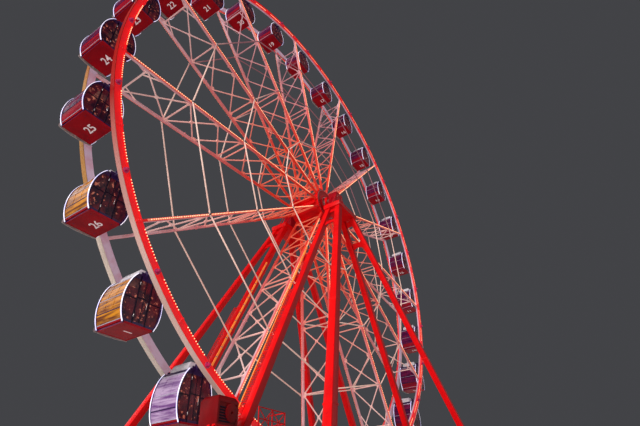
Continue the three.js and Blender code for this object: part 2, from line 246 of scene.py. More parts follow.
# painted shade: the outside colour darkens the faces that look away from the wheel
redPaint = makePaint("redPaint", {
    "colour": (0.82, 0.0020, 0.0030), "dark": (0.60, 0.0015, 0.0040), "grime": (0.22, 0.003, 0.006),
    "edge": (0.96, 0.012, 0.010), "outside": (0.36, 0.0012, 0.0030), "rough": 0.42, "wear": 0.12,
    "glow": 0.07, "shine": 0.12, "coat": 0.02})
maroonPanel = makePaint("maroonPanel", {
    "colour": (0.30, 0.0015, 0.0060), "dark": (0.20, 0.0012, 0.0060), "grime": (0.07, 0.002, 0.006),
    "edge": (0.50, 0.03, 0.05), "rough": 0.34, "wear": 0.12, "cloudScale": 1.6, "glow": 0.22, "shine": 0.08,
    "coat": 0.0})
plumFrame = makePaint("plumFrame", {
    "colour": (0.024, 0.004, 0.052), "dark": (0.014, 0.003, 0.038), "grime": (0.008, 0.003, 0.020),
    "edge": (0.07, 0.03, 0.13), "rough": 0.30, "wear": 0.2, "cloudScale": 2.2, "glow": 0.08})
silverPanel = makePaint("silverPanel", {
    "colour": (0.46, 0.40, 0.50), "dark": (0.30, 0.26, 0.36), "grime": (0.16, 0.13, 0.18),
    "edge": (0.74, 0.70, 0.80), "rough": 0.28, "metallic": 0.25, "cloudScale": 2.0})
whiteShell = makePaint("whiteShell", {
    "colour": (0.78, 0.72, 0.76), "dark": (0.60, 0.54, 0.60), "grime": (0.34, 0.28, 0.30),
    "edge": (0.93, 0.90, 0.92), "rough": 0.28, "cloudScale": 1.4})
# painted light: the cream band turns red higher up, where red light falls on it
creamBand = makePaint("creamBand", {
    "colour": (0.74, 0.48, 0.42), "dark": (0.60, 0.34, 0.28), "grime": (0.44, 0.20, 0.15),
    "edge": (0.92, 0.72, 0.62), "rough": 0.38, "cloudScale": 0.28, "glow": 0.10,
    "higher": [(9.4, 16.6, 1, (0.36, 0.010, 0.006))]})
# painted light: the far band's golden tone and its red higher up
amberBand = makePaint("amberBand", {
    "colour": (0.80, 0.66, 0.56), "dark": (0.66, 0.48, 0.38), "grime": (0.48, 0.30, 0.22),
    "edge": (0.92, 0.80, 0.70), "rough": 0.38, "cloudScale": 0.28, "glow": 0.10,
    "higher": [(11.6, 13.4, 1, (0.44, 0.20, 0.055)), (18.0, 22.0, 1, (0.36, 0.010, 0.006))]})
greySteel = makePaint("greySteel", {
    "colour": (0.26, 0.23, 0.22), "dark": (0.17, 0.15, 0.15), "grime": (0.09, 0.07, 0.06),
    "edge": (0.52, 0.48, 0.45), "rough": 0.42, "metallic": 0.4, "cloudScale": 1.1})
bareSteel = makePaint("bareSteel", {
    "colour": (0.40, 0.34, 0.34), "dark": (0.28, 0.23, 0.23), "grime": (0.12, 0.09, 0.08),
    "edge": (0.66, 0.60, 0.60), "rough": 0.32, "metallic": 0.8, "coat": 0.0, "cloudScale": 3.0})
violetHousing = makePaint("violetHousing", {
    "colour": (0.42, 0.008, 0.075), "dark": (0.26, 0.006, 0.055), "grime": (0.10, 0.004, 0.03),
    "edge": (0.70, 0.12, 0.22), "rough": 0.34, "cloudScale": 3.0, "glow": 0.2})
benchShell = makePaint("benchShell", {
    "colour": (0.46, 0.16, 0.06), "dark": (0.32, 0.10, 0.04), "grime": (0.18, 0.05, 0.03),
    "edge": (0.66, 0.40, 0.26), "rough": 0.4, "cloudScale": 3.0})
bumperGrey = makePaint("bumperGrey", {
    "colour": (0.44, 0.36, 0.34), "dark": (0.30, 0.24, 0.23), "grime": (0.20, 0.12, 0.11),
    "edge": (0.66, 0.60, 0.58), "rough": 0.5, "coat": 0.0, "cloudScale": 3.0, "glow": 0.08})
deckGrip = makePaint("deckGrip", {
    "colour": (0.20, 0.20, 0.21), "dark": (0.13, 0.13, 0.14), "grime": (0.07, 0.06, 0.05),
    "edge": (0.42, 0.42, 0.42), "rough": 0.62, "coat": 0.0, "cloudScale": 1.4, "peelScale": 60})
figureWhite = makePaint("figureWhite", {
    "colour": (0.90, 0.72, 0.74), "dark": (0.78, 0.60, 0.62), "grime": (0.55, 0.32, 0.34),
    "edge": (0.95, 0.88, 0.88), "rough": 0.4, "cloudScale": 5.0, "glow": 0.2})
# Painted light: the red and warm colours of the rims, spokes, braces and tie rods stand in for coloured light
# on white steel
rimPaint = makeWashedPaint("rimPaint", {
    "washFrom": (0.93, 1.06), "radialFrom": (8, 16), "outside": (0.86, 0.0020, 0.0060),
    "insideNearHub": (0.40, 0.26, 0.36), "insideNearRim": (0.43, 0.37, 0.47), "dark": (0.30, 0.010, 0.030),
    "edge": (0.95, 0.06, 0.05), "glow": 0.42})
spokePaint = makeWashedPaint("spokePaint", {
    "washFrom": (1.03, 1.075), "radialFrom": (5.5, 15.5), "outside": (0.80, 0.012, 0.008),
    "insideNearHub": (0.78, 0.040, 0.014), "insideNearRim": (0.72, 0.46, 0.50), "dark": (0.44, 0.06, 0.07),
    "edge": (0.95, 0.16, 0.12), "glow": 0.18})
# painted shade: the braces darken to plum near the top
bracePaint = makeWashedPaint("bracePaint", {
    "washFrom": (0.99, 1.30), "radialFrom": (5, 14.5), "outside": (0.90, 0.60, 0.50),
    "insideNearHub": (0.86, 0.10, 0.030), "insideNearRim": (0.85, 0.58, 0.54), "dark": (0.50, 0.10, 0.09),
    "edge": (0.95, 0.60, 0.50), "glow": 0.26, "higher": [(23.5, 31, 0.6, (0.46, 0.14, 0.22))]})
# painted shade: the tie rods go dark plum near the top
tiePaint = makeWashedPaint("tiePaint", {
    "washFrom": (0.90, 1.00), "radialFrom": (3, 14), "outside": (0.90, 0.62, 0.52),
    "insideNearHub": (0.86, 0.10, 0.030), "insideNearRim": (0.85, 0.58, 0.54), "dark": (0.52, 0.14, 0.12),
    "edge": (0.95, 0.60, 0.50), "glow": 0.26, "higher": [(22.5, 27, 0.85, (0.18, 0.025, 0.065))]})
# painted light: the lamp channel is orange and glows as if lit by its own lamps
litChannel = makePaint("litChannel", {
    "colour": (0.88, 0.24, 0.15), "dark": (0.80, 0.15, 0.10), "grime": (0.60, 0.06, 0.04),
    "edge": (0.95, 0.40, 0.28), "rough": 0.45, "cloudScale": 2.0, "wear": 0.1, "glow": 0.42, "shine": 0.1,
    "coat": 0.0})
# painted light: the duct's orange and glow stand in for warm light from the wheel's lamps
warmDuct = makePaint("warmDuct", {
    "colour": (0.92, 0.25, 0.04), "dark": (0.75, 0.13, 0.02), "grime": (0.30, 0.03, 0.01),
    "edge": (0.95, 0.42, 0.12), "rough": 0.45, "cloudScale": 0.7, "wear": 0.1, "glow": 0.35, "shine": 0.1,
    "coat": 0.0})
machineRed = makePaint("machineRed", {
    "colour": (0.17, 0.0012, 0.0030), "dark": (0.09, 0.0010, 0.0025), "grime": (0.03, 0.001, 0.002),
    "edge": (0.32, 0.004, 0.006), "rough": 0.42, "cloudScale": 1.8, "wear": 0.15, "glow": 0.05,
    "shine": 0.1, "coat": 0.0})
doorFrame = makePaint("doorFrame", {
    "colour": (0.011, 0.003, 0.015), "dark": (0.007, 0.002, 0.011), "grime": (0.005, 0.002, 0.006),
    "edge": (0.03, 0.01, 0.03), "rough": 0.42, "cloudScale": 2.2, "wear": 0.1, "glow": 0.03, "shine": 0.12,
    "coat": 0.0})
# A painted pool of light gives its middle, where it fades out, and the darker and lighter colour that it
# leaves
paintedSideLights = [((-13.6, 0, 10.4), (3.0, 3.6), (0.12, 0.03, 0.010), (0.55, 0.20, 0.012)),
              ((-9.54, 0, 6.3), (1.5, 1.8), (0.14, 0.05, 0.18), (0.44, 0.30, 0.46))]
sideGlass = makeGlass("sideGlass", {
    "colour": (0.030, 0.003, 0.030), "light": (0.14, 0.008, 0.05), "stretch": (0.7, 0.5, 5.0), "scale": 1.6,
    "glow": 0.32, "alpha": 0.90, "lights": paintedSideLights})
sidePanel = makeGlass("sidePanel", {
    "colour": (0.15, 0.0015, 0.012), "light": (0.28, 0.003, 0.014), "stretch": (0.7, 0.5, 5.0),
    "scale": 1.6, "glow": 0.25, "alpha": 1, "lights": paintedSideLights})
endGlass = makeGlass("endGlass", {
    "colour": (0.018, 0.003, 0.012), "light": (0.11, 0.010, 0.018), "stretch": (1.6, 1, 1.0), "scale": 2.2,
    "bits": (0.60, 0.17, 0.11), "glow": 0.28, "alpha": 0.90})
warmLamp = makeLamp("warmLamp", {
    "colour": (1.0, 0.42, 0.18), "other": (1.0, 0.60, 0.34), "scale": 8, "strength": 1.7})
coolLamp = makeLamp("coolLamp", {
    "colour": (0.62, 0.58, 0.95), "other": (0.92, 0.86, 1.0), "scale": 2, "strength": 0.9})
roomLamp = makeLamp("roomLamp", {
    "colour": (1.0, 0.72, 0.45), "other": (1.0, 0.85, 0.6), "scale": 4, "strength": 1.6})
print("finishes made:", len(bpy.data.materials))


# Ways of working, each used on many pieces

def pickNothing():
    bpy.ops.object.select_all(action="DESELECT")


def pick(piece):
    pickNothing()
    piece.select_set(True)
    bpy.context.view_layer.objects.active = piece


def settle(finish):
    bpy.ops.object.transform_apply(location=True, rotation=True, scale=True)
    piece = bpy.context.object
    piece.data.materials.append(finish)
    return piece


# Spans along an axis: about a middle, shortened at both ends, on one side of zero, and spaced along one
def about(middle, half):
    return middle - half, middle + half


def within(span, inset):
    return span[0] + inset, span[1] - inset


def spanOn(side, first, second):
    return sorted((side * first, side * second))


def spaced(span, count):
    return [span[0] + (span[1] - span[0]) * index / (count - 1) for index in range(count)]


# A box from its spans along x, y and z
def block(x, y, z, finish):
    pickNothing()
    bpy.ops.mesh.primitive_cube_add(
        size=1, location=[(low + high) / 2 for low, high in (x, y, z)],
        scale=[high - low for low, high in (x, y, z)])
    return settle(finish)


# A level sheet, the start of what is pushed or turned out of it
def sheet(middle, wide, deep, finish):
    pickNothing()
    bpy.ops.mesh.primitive_plane_add(size=1, location=middle)
    bpy.context.object.scale = (wide, deep, 1)
    return settle(finish)


def facing(along, side):
    along = along.normalized()
    across = (side - side.dot(along) * along).normalized()
    return Matrix((across.cross(along), across, along)).transposed().to_euler()


# A straight bar: deep is its size towards side, wide its size the other way
def bar(start, end, wide, deep, side, finish):
    start, end = Vector(start), Vector(end)
    pickNothing()
    bpy.ops.mesh.primitive_cube_add(
        size=1, location=(start + end) / 2, rotation=facing(end - start, Vector(side)),
        scale=(wide, deep, (end - start).length))
    return settle(finish)


def tube(start, end, radius, finish, sides=12, side=(0, 1, 0)):
    start, end = Vector(start), Vector(end)
    pickNothing()
    bpy.ops.mesh.primitive_cylinder_add(
        vertices=sides, radius=radius, depth=(end - start).length, location=(start + end) / 2,
        rotation=facing(end - start, Vector(side)))
    return settle(finish)


def editing(piece):
    pick(piece)
    bpy.ops.object.mode_set(mode="EDIT")
    bpy.ops.mesh.select_mode(type="VERT")
    bpy.ops.mesh.select_all(action="SELECT")


def done():
    bpy.ops.object.mode_set(mode="OBJECT")


def pickParts(piece, kind, group, test):
    bpy.ops.mesh.select_mode(type=kind)
    bpy.ops.mesh.select_all(action="DESELECT")
    mesh = bmesh.from_edit_mesh(piece.data)
    for part in getattr(mesh, group):
        part.select_set(bool(test(part)))
    bmesh.update_edit_mesh(piece.data)


def pickFaces(piece, test):
    pickParts(piece, "FACE", "faces", lambda face: test(face.calc_center_median(), face.normal))


def pickSide(piece, way):
    pickFaces(piece, lambda middle, normal: normal.dot(Vector(way)) > 0.9)


def pickCorners(piece, test):
    pickParts(piece, "VERT", "verts", lambda corner: test(corner.co))


def pushOut(distance, direction):
    bpy.ops.mesh.extrude_region_move(TRANSFORM_OT_translate={"value": Vector(direction) * distance})


def recess(rim, depth, direction):
    bpy.ops.mesh.inset(thickness=rim, depth=0)
    pushOut(depth, direction)


def outward(piece):
    editing(piece)
    bpy.ops.mesh.remove_doubles(threshold=0.0002)
    bpy.ops.mesh.normals_make_consistent(inside=False)
    done()
    return piece


# What is being edited, turned right round an axis along Y through centre
def spun(piece, centre, steps):
    bpy.ops.mesh.spin(steps=steps, angle=2 * math.pi, center=centre, axis=(0, 1, 0))
    done()
    return outward(piece)


# A ring of rectangular section
def hoop(centre, inner, outer, yLow, yHigh, finish, steps):
    middle = centre + Vector(((inner + outer) / 2, (yLow + yHigh) / 2, 0))
    piece = sheet(middle, outer - inner, yHigh - yLow, finish)
    editing(piece)
    bpy.ops.mesh.delete(type="ONLY_FACE")
    bpy.ops.mesh.select_all(action="SELECT")
    return spun(piece, centre, steps)


# A turned piece: points give radius and y, and the outline starts and ends on the axis or on itself
def turned(centre, points, finish, steps):
    pickNothing()
    radius, y = points[0]
    bpy.ops.mesh.primitive_plane_add(size=0.01, location=centre + Vector((radius, y, 0)))
    piece = settle(finish)
    editing(piece)
    bpy.ops.mesh.merge(type="CENTER")
    for (lastRadius, lastY), (nextRadius, nextY) in zip(points, points[1:]):
        pushOut(1, (nextRadius - lastRadius, nextY - lastY, 0))
    bpy.ops.mesh.select_all(action="SELECT")
    bpy.ops.mesh.remove_doubles(threshold=0.0002)
    return spun(piece, centre, steps)


def joined(pieces, name):
    piece = pieces[0]
    if len(pieces) > 1:
        pickNothing()
        for each in pieces:
            each.select_set(True)
        bpy.context.view_layer.objects.active = piece
        bpy.ops.object.join()
    piece.name = name
    piece.data.name = name
    return piece


def modify(piece, kind, **settings):
    pick(piece)
    modifier = piece.modifiers.new(kind.lower(), kind)
    for setting, value in settings.items():
        setattr(modifier, setting, value)
    bpy.ops.object.modifier_apply(modifier=modifier.name)
    return piece


def softened(piece, width, segments=1):
    return modify(piece, "BEVEL", width=width, segments=segments, limit_method="ANGLE",
                  angle_limit=math.radians(40), use_clamp_overlap=True)


def smooth(piece, degrees=35):
    pick(piece)
    bpy.ops.object.shade_smooth_by_angle(angle=math.radians(degrees))
    return piece


def copied(piece, name, move):
    twin = piece.copy()
    twin.data = piece.data.copy()
    bpy.context.collection.objects.link(twin)
    twin.data.transform(move)
    twin.name = name
    twin.data.name = name
    return twin


def removed(piece):
    bpy.data.objects.remove(piece, do_unlink=True)


# Copies round the hub: turn is the step between copies
def arrayRound(piece, count, turn):
    guide = bpy.data.objects.new("guide", None)
    bpy.context.collection.objects.link(guide)
    guide.matrix_world = aboutHub(turn)
    bpy.context.view_layer.update()
    modify(piece, "ARRAY", count=count, use_relative_offset=False, use_object_offset=True,
           offset_object=guide)
    removed(guide)
    return piece


def aboutHub(angle):
    return Matrix.Translation(hub) @ Matrix.Rotation(-angle, 4, "Y") @ Matrix.Translation(-hub)


mirrorX = Matrix.Diagonal((-1, 1, 1, 1))
mirrorY = Matrix.Diagonal((1, -1, 1, 1))


def flipped(piece, matrix):
    piece.data.transform(matrix)
    return outward(piece)


def mirrored(piece, name, matrix):
    twin = copied(piece, name, matrix)
    twin.data.flip_normals()
    return twin


def placed(piece, body, slot, *nodes):
    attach(piece, body)
    if nodes:
        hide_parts(*nodes)
    return piece


# A piece of the stand and its mirror twin, each on a node of its own
def placedPair(piece, slot, node, twinName, twinNode, matrix):
    twin = mirrored(piece, twinName, matrix)
    placed(piece, "stand", slot, node)
    placed(twin, "stand", slot, twinNode)


# Cabins: one is modelled about its pivot at the origin, then copied to every pivot

cabinShape = {
    "bulge": 0.812, "bulgeHeight": -1.2, "reachUp": 1.27, "reachDown": 1.16,
    "endY": 0.70, "floor": -2.0, "floorTop": -1.93, "shoulder": -0.10,
    "frameDepth": 0.055, "frameWidth": 0.05, "lampWidth": 0.03,
    "skirtTop": -1.86, "sill": -1.50, "waist": -1.02, "eaves": -0.26,
    "capHalf": 0.36, "boxHalf": 0.33, "boxEnd": 0.50, "capTop": 0.225, "capBase": -0.10,
    "steps": 18, "spread": 104, "tray": (0.03, 0.010), "lip": (0.05, 0.008), "rail": (0.05, 0.04),
    "pads": (0.4, 0.5), "padRadius": 0.02, "crownRise": 0.12, "hooks": 0.15,
}


# How far a height lies up or down the bulge, from -1 to 1
def bulgeShare(z):
    rise = z - cabinShape["bulgeHeight"]
    return rise / cabinShape["reachUp" if rise > 0 else "reachDown"]


def cabinHalf(z, inset=0.0):
    return cabinShape["bulge"] * math.sqrt(1 - bulgeShare(z) ** 2) - inset


def bulgeAngle(z):
    return math.asin(bulgeShare(z))


# A strip that follows the bulging side from one height to another
def sideStrip(side, y, z, outset, thickness, finish):
    shape = cabinShape
    centre = Vector((0, 0, shape["bulgeHeight"]))
    middle = centre + Vector((shape["bulge"] + outset - thickness / 2, (y[0] + y[1]) / 2, 0))
    piece = sheet(middle, thickness, y[1] - y[0], finish)
    start, end = (bulgeAngle(height) for height in z)
    steps = max(3, math.ceil(shape["steps"] * (end - start) / math.radians(shape["spread"])))
    piece.data.transform(
        Matrix.Translation(centre) @ Matrix.Rotation(-start, 4, "Y") @ Matrix.Translation(-centre))
    editing(piece)
    bpy.ops.mesh.spin(steps=steps, angle=end - start, center=centre, axis=(0, 1, 0))
    for above, reach in ((True, shape["reachUp"]), (False, shape["reachDown"])):
        pickCorners(piece, lambda place: (place.z > shape["bulgeHeight"]) == above)
        bpy.ops.transform.resize(value=(1, 1, reach / shape["bulge"]), center_override=centre)
    done()
    return flipped(piece, mirrorX) if side < 0 else outward(piece)


# A flat sheet across the cabin whose sides follow the bulge
def endSheet(y, z, inset, finish):
    heights = spaced(z, 1 + max(2, math.ceil((z[1] - z[0]) / 0.12)))
    piece = sheet((0, (y[0] + y[1]) / 2, z[0]), 2 * cabinHalf(z[0], inset), y[1] - y[0], finish)
    editing(piece)
    for low, high in zip(heights, heights[1:]):
        pushOut(high - low, (0, 0, 1))
        bpy.ops.transform.resize(value=(cabinHalf(high, inset) / cabinHalf(low, inset), 1, 1),
                                 center_override=(0, y[0], high))
    done()
    return outward(piece)


doorShape = {
    "insets": (0.01, 0.05), "posts": (-0.27, 0.24), "postHalf": 0.028, "postTop": -0.16,
    "meetingHalf": 0.014, "meetingTop": -0.2, "headRail": (-0.30, -0.12), "railTall": 0.04,
    "rails": [((-0.74, -0.27), -1.06), ((-0.27, 0.24), -0.99), ((0.24, 0.74), -1.06)],
    "handles": [(0.16, (-1.32, -1.06), 0.012), (-0.27, (-1.70, -1.58), 0.016),
                (-0.27, (-0.50, -0.38), 0.016)],
    "mullions": (-0.22, 0.22), "mullionHalf": 0.008,
}


# Curved panels, rails and frames on a long side
def makeCabinSide(side):
    shape = cabinShape
    end = shape["endY"]
    inner = end - shape["frameWidth"]
    length, glazed = about(0, inner + 0.005), (shape["sill"], shape["eaves"])
    pieces = []
    for low, high, outset, finish in (
            ("floorTop", "skirtTop", -0.006, maroonPanel), ("skirtTop", "sill", -0.008, sidePanel),
            ("eaves", "shoulder", -0.008, plumFrame)):
        pieces.append(sideStrip(side, length, (shape[low], shape[high]), outset, 0.03, finish))
    for height, half, finish in (("skirtTop", 0.012, silverPanel), ("sill", 0.018, plumFrame),
                                 ("waist", 0.010, silverPanel), ("eaves", 0.020, silverPanel)):
        pieces.append(sideStrip(side, length, about(shape[height], half), 0.002, 0.045, finish))
    for y in doorShape["mullions"]:
        pieces.append(sideStrip(side, about(y, doorShape["mullionHalf"]), glazed, -0.005, 0.035, sidePanel))
    for endSide in (-1, 1):
        pieces.append(sideStrip(side, spanOn(endSide, end, inner), (shape["floor"], shape["shoulder"]),
                                0.006, shape["frameDepth"], plumFrame))
    return pieces


# Door leaves and posts on an end, with a threshold, a head rail and handles
def makeCabinEnd(side):
    shape, door = cabinShape, doorShape
    y = spanOn(side, *(shape["endY"] - inset for inset in door["insets"]))
    pieces = []
    for x in door["posts"]:
        pieces.append(block(about(x, door["postHalf"]), y, (shape["floorTop"], door["postTop"]), doorFrame))
    meeting = (shape["floorTop"], door["meetingTop"])
    pieces.append(block(about(0, door["meetingHalf"]), within(y, 0.006), meeting, doorFrame))
    pieces.append(endSheet(within(y, 0.004), (shape["floorTop"], shape["skirtTop"] + 0.02), 0.04, plumFrame))
    pieces.append(endSheet(y, door["headRail"], 0.03, plumFrame))
    for x, height in door["rails"]:
        pieces.append(block(x, within(y, 0.005), (height, height + door["railTall"]), doorFrame))
    handleY = side * (shape["endY"] - 0.004)
    for x, (low, high), radius in door["handles"]:
        pieces.append(tube((x, handleY, low), (x, handleY, high), radius, bareSteel, 8))
    return pieces


def makeCabinShell():
    pieces = [piece for side in (-1, 1) for piece in makeCabinSide(side)]
    pieces += [piece for side in (-1, 1) for piece in makeCabinEnd(side)]
    return softened(joined(pieces, "cabinShell"), 0.004)


def makeCabinFloor():
    low, top, end = cabinShape["floor"], cabinShape["floorTop"], cabinShape["endY"]
    half = cabinHalf(low)
    floor = block(about(0, half), about(0, end), (low, top), maroonPanel)
    editing(floor)
    # A shallow tray below and a raised lip round it
    pickSide(floor, (0, 0, -1))
    recess(*cabinShape["tray"], (0, 0, 1))
    pickFaces(floor, lambda middle, normal: normal.z > 0.9 and middle.z > top - 0.001)
    recess(*cabinShape["lip"], (0, 0, 1))
    done()
    pieces = [floor]
    middle = (low + top) / 2
    for x in about(0, half - 0.02):
        pieces.append(bar((x, -end, middle), (x, end, middle), *cabinShape["rail"], (0, 0, 1), plumFrame))
    across, along = cabinShape["pads"]
    for x in about(0, across):
        for y in about(0, along):
            pad = tube((x, y, low + 0.002), (x, y, low + 0.02), cabinShape["padRadius"], plumFrame, 8)
            pieces.append(pad)
    return softened(joined(pieces, "cabinFloor"), 0.005)


def makeCabinRoof():
    shape = cabinShape
    end, base, top, rise = shape["endY"], shape["capBase"], shape["capTop"], shape["crownRise"]
    deck = block(about(0, shape["capHalf"] + 0.02), about(0, end - 0.01), (base - 0.035, base), plumFrame)
    cap = block(about(0, shape["boxHalf"]), about(0, shape["boxEnd"]), (base, base + rise), whiteShell)
    editing(cap)
    # Draw the sloping shoulders in, then raise the flat ridge
    pickSide(cap, (0, 0, 1))
    shoulder = base + 2 * rise
    for push, narrower, height in ((rise, 0.80, shoulder), (top - shoulder, 0.78, top)):
        pushOut(push, (0, 0, 1))
        bpy.ops.transform.resize(value=(narrower, 0.94, 1), center_override=(0, 0, height))
    recess(0.05, -0.015, (0, 0, 1))
    done()
    pieces = [deck, softened(cap, 0.02, 2)]
    for side in (-1, 1):
        edge = spanOn(side, end - 0.015, end - 0.045)
        pieces.append(block(about(0, 0.30), edge, (base, base + 0.10), plumFrame))
        y = -2 * side * shape["hooks"]
        for x in about(0, shape["hooks"]):
            pieces.append(tube((x, y, top - 0.02), (x, y, top), 0.03, bareSteel, 8))
    pieces.append(block(about(0, 0.22), about(0, 0.25), (base - 0.075, base - 0.035), roomLamp))
    return joined(pieces, "cabinRoof")


pinShape = {
    "outline": [(0, 0.60), (0.115, 0.60), (0.115, 0.715), (0.085, 0.73), (0.072, 0.75), (0.072, 0.871),
                (0, 0.871)],
    "armHalf": 0.13, "armDeep": (0.60, 0.70), "armTall": (-0.16, 0.10),
}


# Pivot pins, each with a hanger arm up from the roof frame
def makeCabinPins():
    shape = pinShape
    pieces = []
    for side in (-1, 1):
        pin = turned(Vector((0, 0, 0)), shape["outline"], plumFrame, 20)
        pieces.append(flipped(pin, mirrorY) if side < 0 else pin)
        arm = block(about(0, shape["armHalf"]), spanOn(side, *shape["armDeep"]), shape["armTall"], plumFrame)
        pieces.append(arm)
    return softened(joined(pieces, "cabinPins"), 0.006)


bumperShape = {
    "ends": (-0.70, 0.64), "y": 0.745, "bow": 0.085, "z": -1.925, "half": 0.066, "round": 0.018, "steps": 10,
    "brackets": (-0.46, 0, 0.46), "bracketFrom": 0.68,
}


# A bowed guard rail along the far edge of the floor
def makeCabinBumper():
    shape = bumperShape
    left, right = shape["ends"]
    pickNothing()
    bpy.ops.curve.primitive_bezier_curve_add(location=(0, 0, 0))
    curve = bpy.context.object.data
    curve.dimensions = "2D"
    curve.fill_mode = "NONE"
    for point, x, side in zip(curve.splines[0].bezier_points, (left, right), (1, -1)):
        point.handle_left_type = point.handle_right_type = "FREE"
        point.co = (x, shape["y"], 0)
        # Both handles lie on the arch that leads to the other end
        reach = Vector(((right - left) * 0.31, shape["bow"] * 1.33 * side, 0))
        point.handle_right = point.co + reach
        point.handle_left = point.co - reach
    curve.resolution_u = shape["steps"]
    curve.extrude = shape["half"]
    curve.bevel_depth = shape["round"]
    curve.bevel_resolution = 1
    bpy.ops.object.convert(target="MESH")
    rail = settle(bumperGrey)
    rail.data.transform(Matrix.Translation((0, 0, shape["z"])))
    pieces = [outward(rail)]
    for x in shape["brackets"]:
        start, end = (x, shape["bracketFrom"], shape["z"]), (x, shape["y"] + shape["bow"] * 0.6, shape["z"])
        pieces.append(bar(start, end, 0.06, 0.05, (0, 0, 1), bumperGrey))
    return joined(pieces, "cabinBumper")


benchShape = {
    "seat": ((0.22, 0.60), (-0.60, 0.60), (-1.56, -1.46)),
    "base": ((0.30, 0.56), (-0.55, 0.55), (-1.93, -1.56)),
    "back": ((0.60, 0, -1.46), (0.66, 0, -1.10)), "backSize": (0.06, 1.2),
    "pole": ((0, -0.28, -1.93), (0, -0.28, -0.16)), "poleRadius": 0.02,
}


def makeCabinBenches():
    shape = benchShape
    pieces = []
    for side in (-1, 1):
        seat = block(*shape["seat"], benchShell)
        back = bar(*shape["back"], *shape["backSize"], (0, 1, 0), benchShell)
        base = block(*shape["base"], maroonPanel)
        editing(seat)
        pickSide(seat, (0, 0, 1))
        recess(0.03, 0.02, (0, 0, -1))
        done()
        pieces += [flipped(piece, mirrorX) if side < 0 else piece for piece in (seat, back, base)]
    pieces.append(tube(*shape["pole"], shape["poleRadius"], bareSteel, 10))
    return softened(joined(pieces, "cabinBenches"), 0.01)


def makeCabinGlass():
    shape = cabinShape
    end = shape["endY"]
    length = about(0, end - shape["frameWidth"] + 0.005)
    pieces = []
    for side in (-1, 1):
        pieces.append(sideStrip(side, length, (shape["sill"], shape["eaves"]), -0.014, 0.012, sideGlass))
        y = spanOn(side, end - 0.026, end - 0.036)
        pieces.append(endSheet(y, (shape["skirtTop"], -0.2), 0.03, endGlass))
    return joined(pieces, "cabinGlass")


def makeCabinLamps():
    shape = cabinShape
    tall = (shape["floor"] + 0.05, shape["shoulder"] - 0.02)
    pieces = []
    for side in (-1, 1):
        for endSide in (-1, 1):
            y = spanOn(endSide, shape["endY"] + 0.006, shape["endY"] - shape["lampWidth"])
            pieces.append(sideStrip(side, y, tall, 0.018, 0.02, coolLamp))
    return joined(pieces, "cabinLamps")


figureShape = {
    "size": 0.47, "x": 0.10, "y": -0.06, "raise": 0.006, "bolder": 0.006,
    "turn": ((0, -1, 0, 0), (-1, 0, 0, 0), (0, 0, -1, 0), (0, 0, 0, 1)),
}


# The plain number below the floor: it reads towards the front, with its top to the left
def makeFigure(number):
    shape = figureShape
    pickNothing()
    bpy.ops.object.text_add(location=(0, 0, 0))
    figure = bpy.context.object.data
    figure.body = str(number)
    figure.size = shape["size"]
    figure.align_x = "CENTER"
    figure.align_y = "CENTER"
    figure.extrude = shape["raise"]
    figure.offset = shape["bolder"]
    figure.resolution_u = 3
    bpy.ops.object.convert(target="MESH")
    below = Matrix.Translation((shape["x"], shape["y"], cabinShape["floor"] + 0.010))
    return flipped(settle(figureWhite), below @ Matrix(shape["turn"]))


def makeCabins():
    parts = [makeCabinShell(), makeCabinFloor(), makeCabinRoof(), makeCabinPins()]
    panels = smooth(joined(parts, "cabinPanels"))
    bumper = smooth(makeCabinBumper())
    benches = smooth(makeCabinBenches())
    glass = smooth(makeCabinGlass())
    lamps = smooth(makeCabinLamps())
    trim = joined([glass, lamps], "cabinTrim")
    body = joined([panels, bumper, benches], "cabinBody")
    for number, node in enumerate(cabinNames, 1):
        hang = Matrix.Translation(pivots[node])
        figure = makeFigure(number)
        figure.data.transform(hang)
        shell = joined([copied(body, node + "_shell_copy", hang), figure], node + "_shell")
        for piece in (shell, copied(trim, node + "_glazing", hang)):
            placed(piece, node + "_body", "cabin_panels", node)
    removed(body)
    removed(trim)


makeCabins()
print("cabins hung:", len(cabinNames))


# Rims: a box beam with a bright outer band, bolted joints, bearing housings and a string of lamps

rimShape = {
    "inner": 16.325, "outer": 16.680, "yIn": 0.885, "yOut": 1.115, "steps": 208,
    "band": 0.022, "lip": 0.012, "lampRadius": 16.36, "lampStep": 0.1225, "lampsPerHalf": 11,
    "channelHalf": 0.03,
    "boltsAcross": (-1.06, -1.0, -0.94), "boltsUp": (0.09, 0.18, 0.27), "boltReach": 0.034,
}


dotShape = {"radius": 0.021, "base": 0.012, "lens": 0.016, "narrower": 0.6, "sides": 6}


# One small lamp with a tapered lens towards the front
def lampDot(place):
    shape = dotShape
    pickNothing()
    bpy.ops.mesh.primitive_cylinder_add(
        vertices=shape["sides"], radius=shape["radius"], depth=shape["base"], location=place,
        rotation=(math.pi / 2, 0, 0))
    dot = settle(warmLamp)
    editing(dot)
    pickSide(dot, (0, -1, 0))
    pushOut(shape["lens"], (0, -1, 0))
    bpy.ops.transform.resize(value=(shape["narrower"], 1, shape["narrower"]), center_override=place)
    done()
    return dot


def makeRimLamps():
    shape = rimShape
    step = shape["lampStep"] / shape["lampRadius"]
    centre = firstAngle + pitch / 4
    dot = lampDot(hub + Vector((0, -shape["yOut"] - 0.018, -shape["lampRadius"])))
    dot.data.transform(aboutHub(centre - step * (shape["lampsPerHalf"] - 1) / 2))
    arrayRound(dot, shape["lampsPerHalf"], step)
    arrayRound(dot, 2 * len(cabinNames), pitch / 2)
    return dot


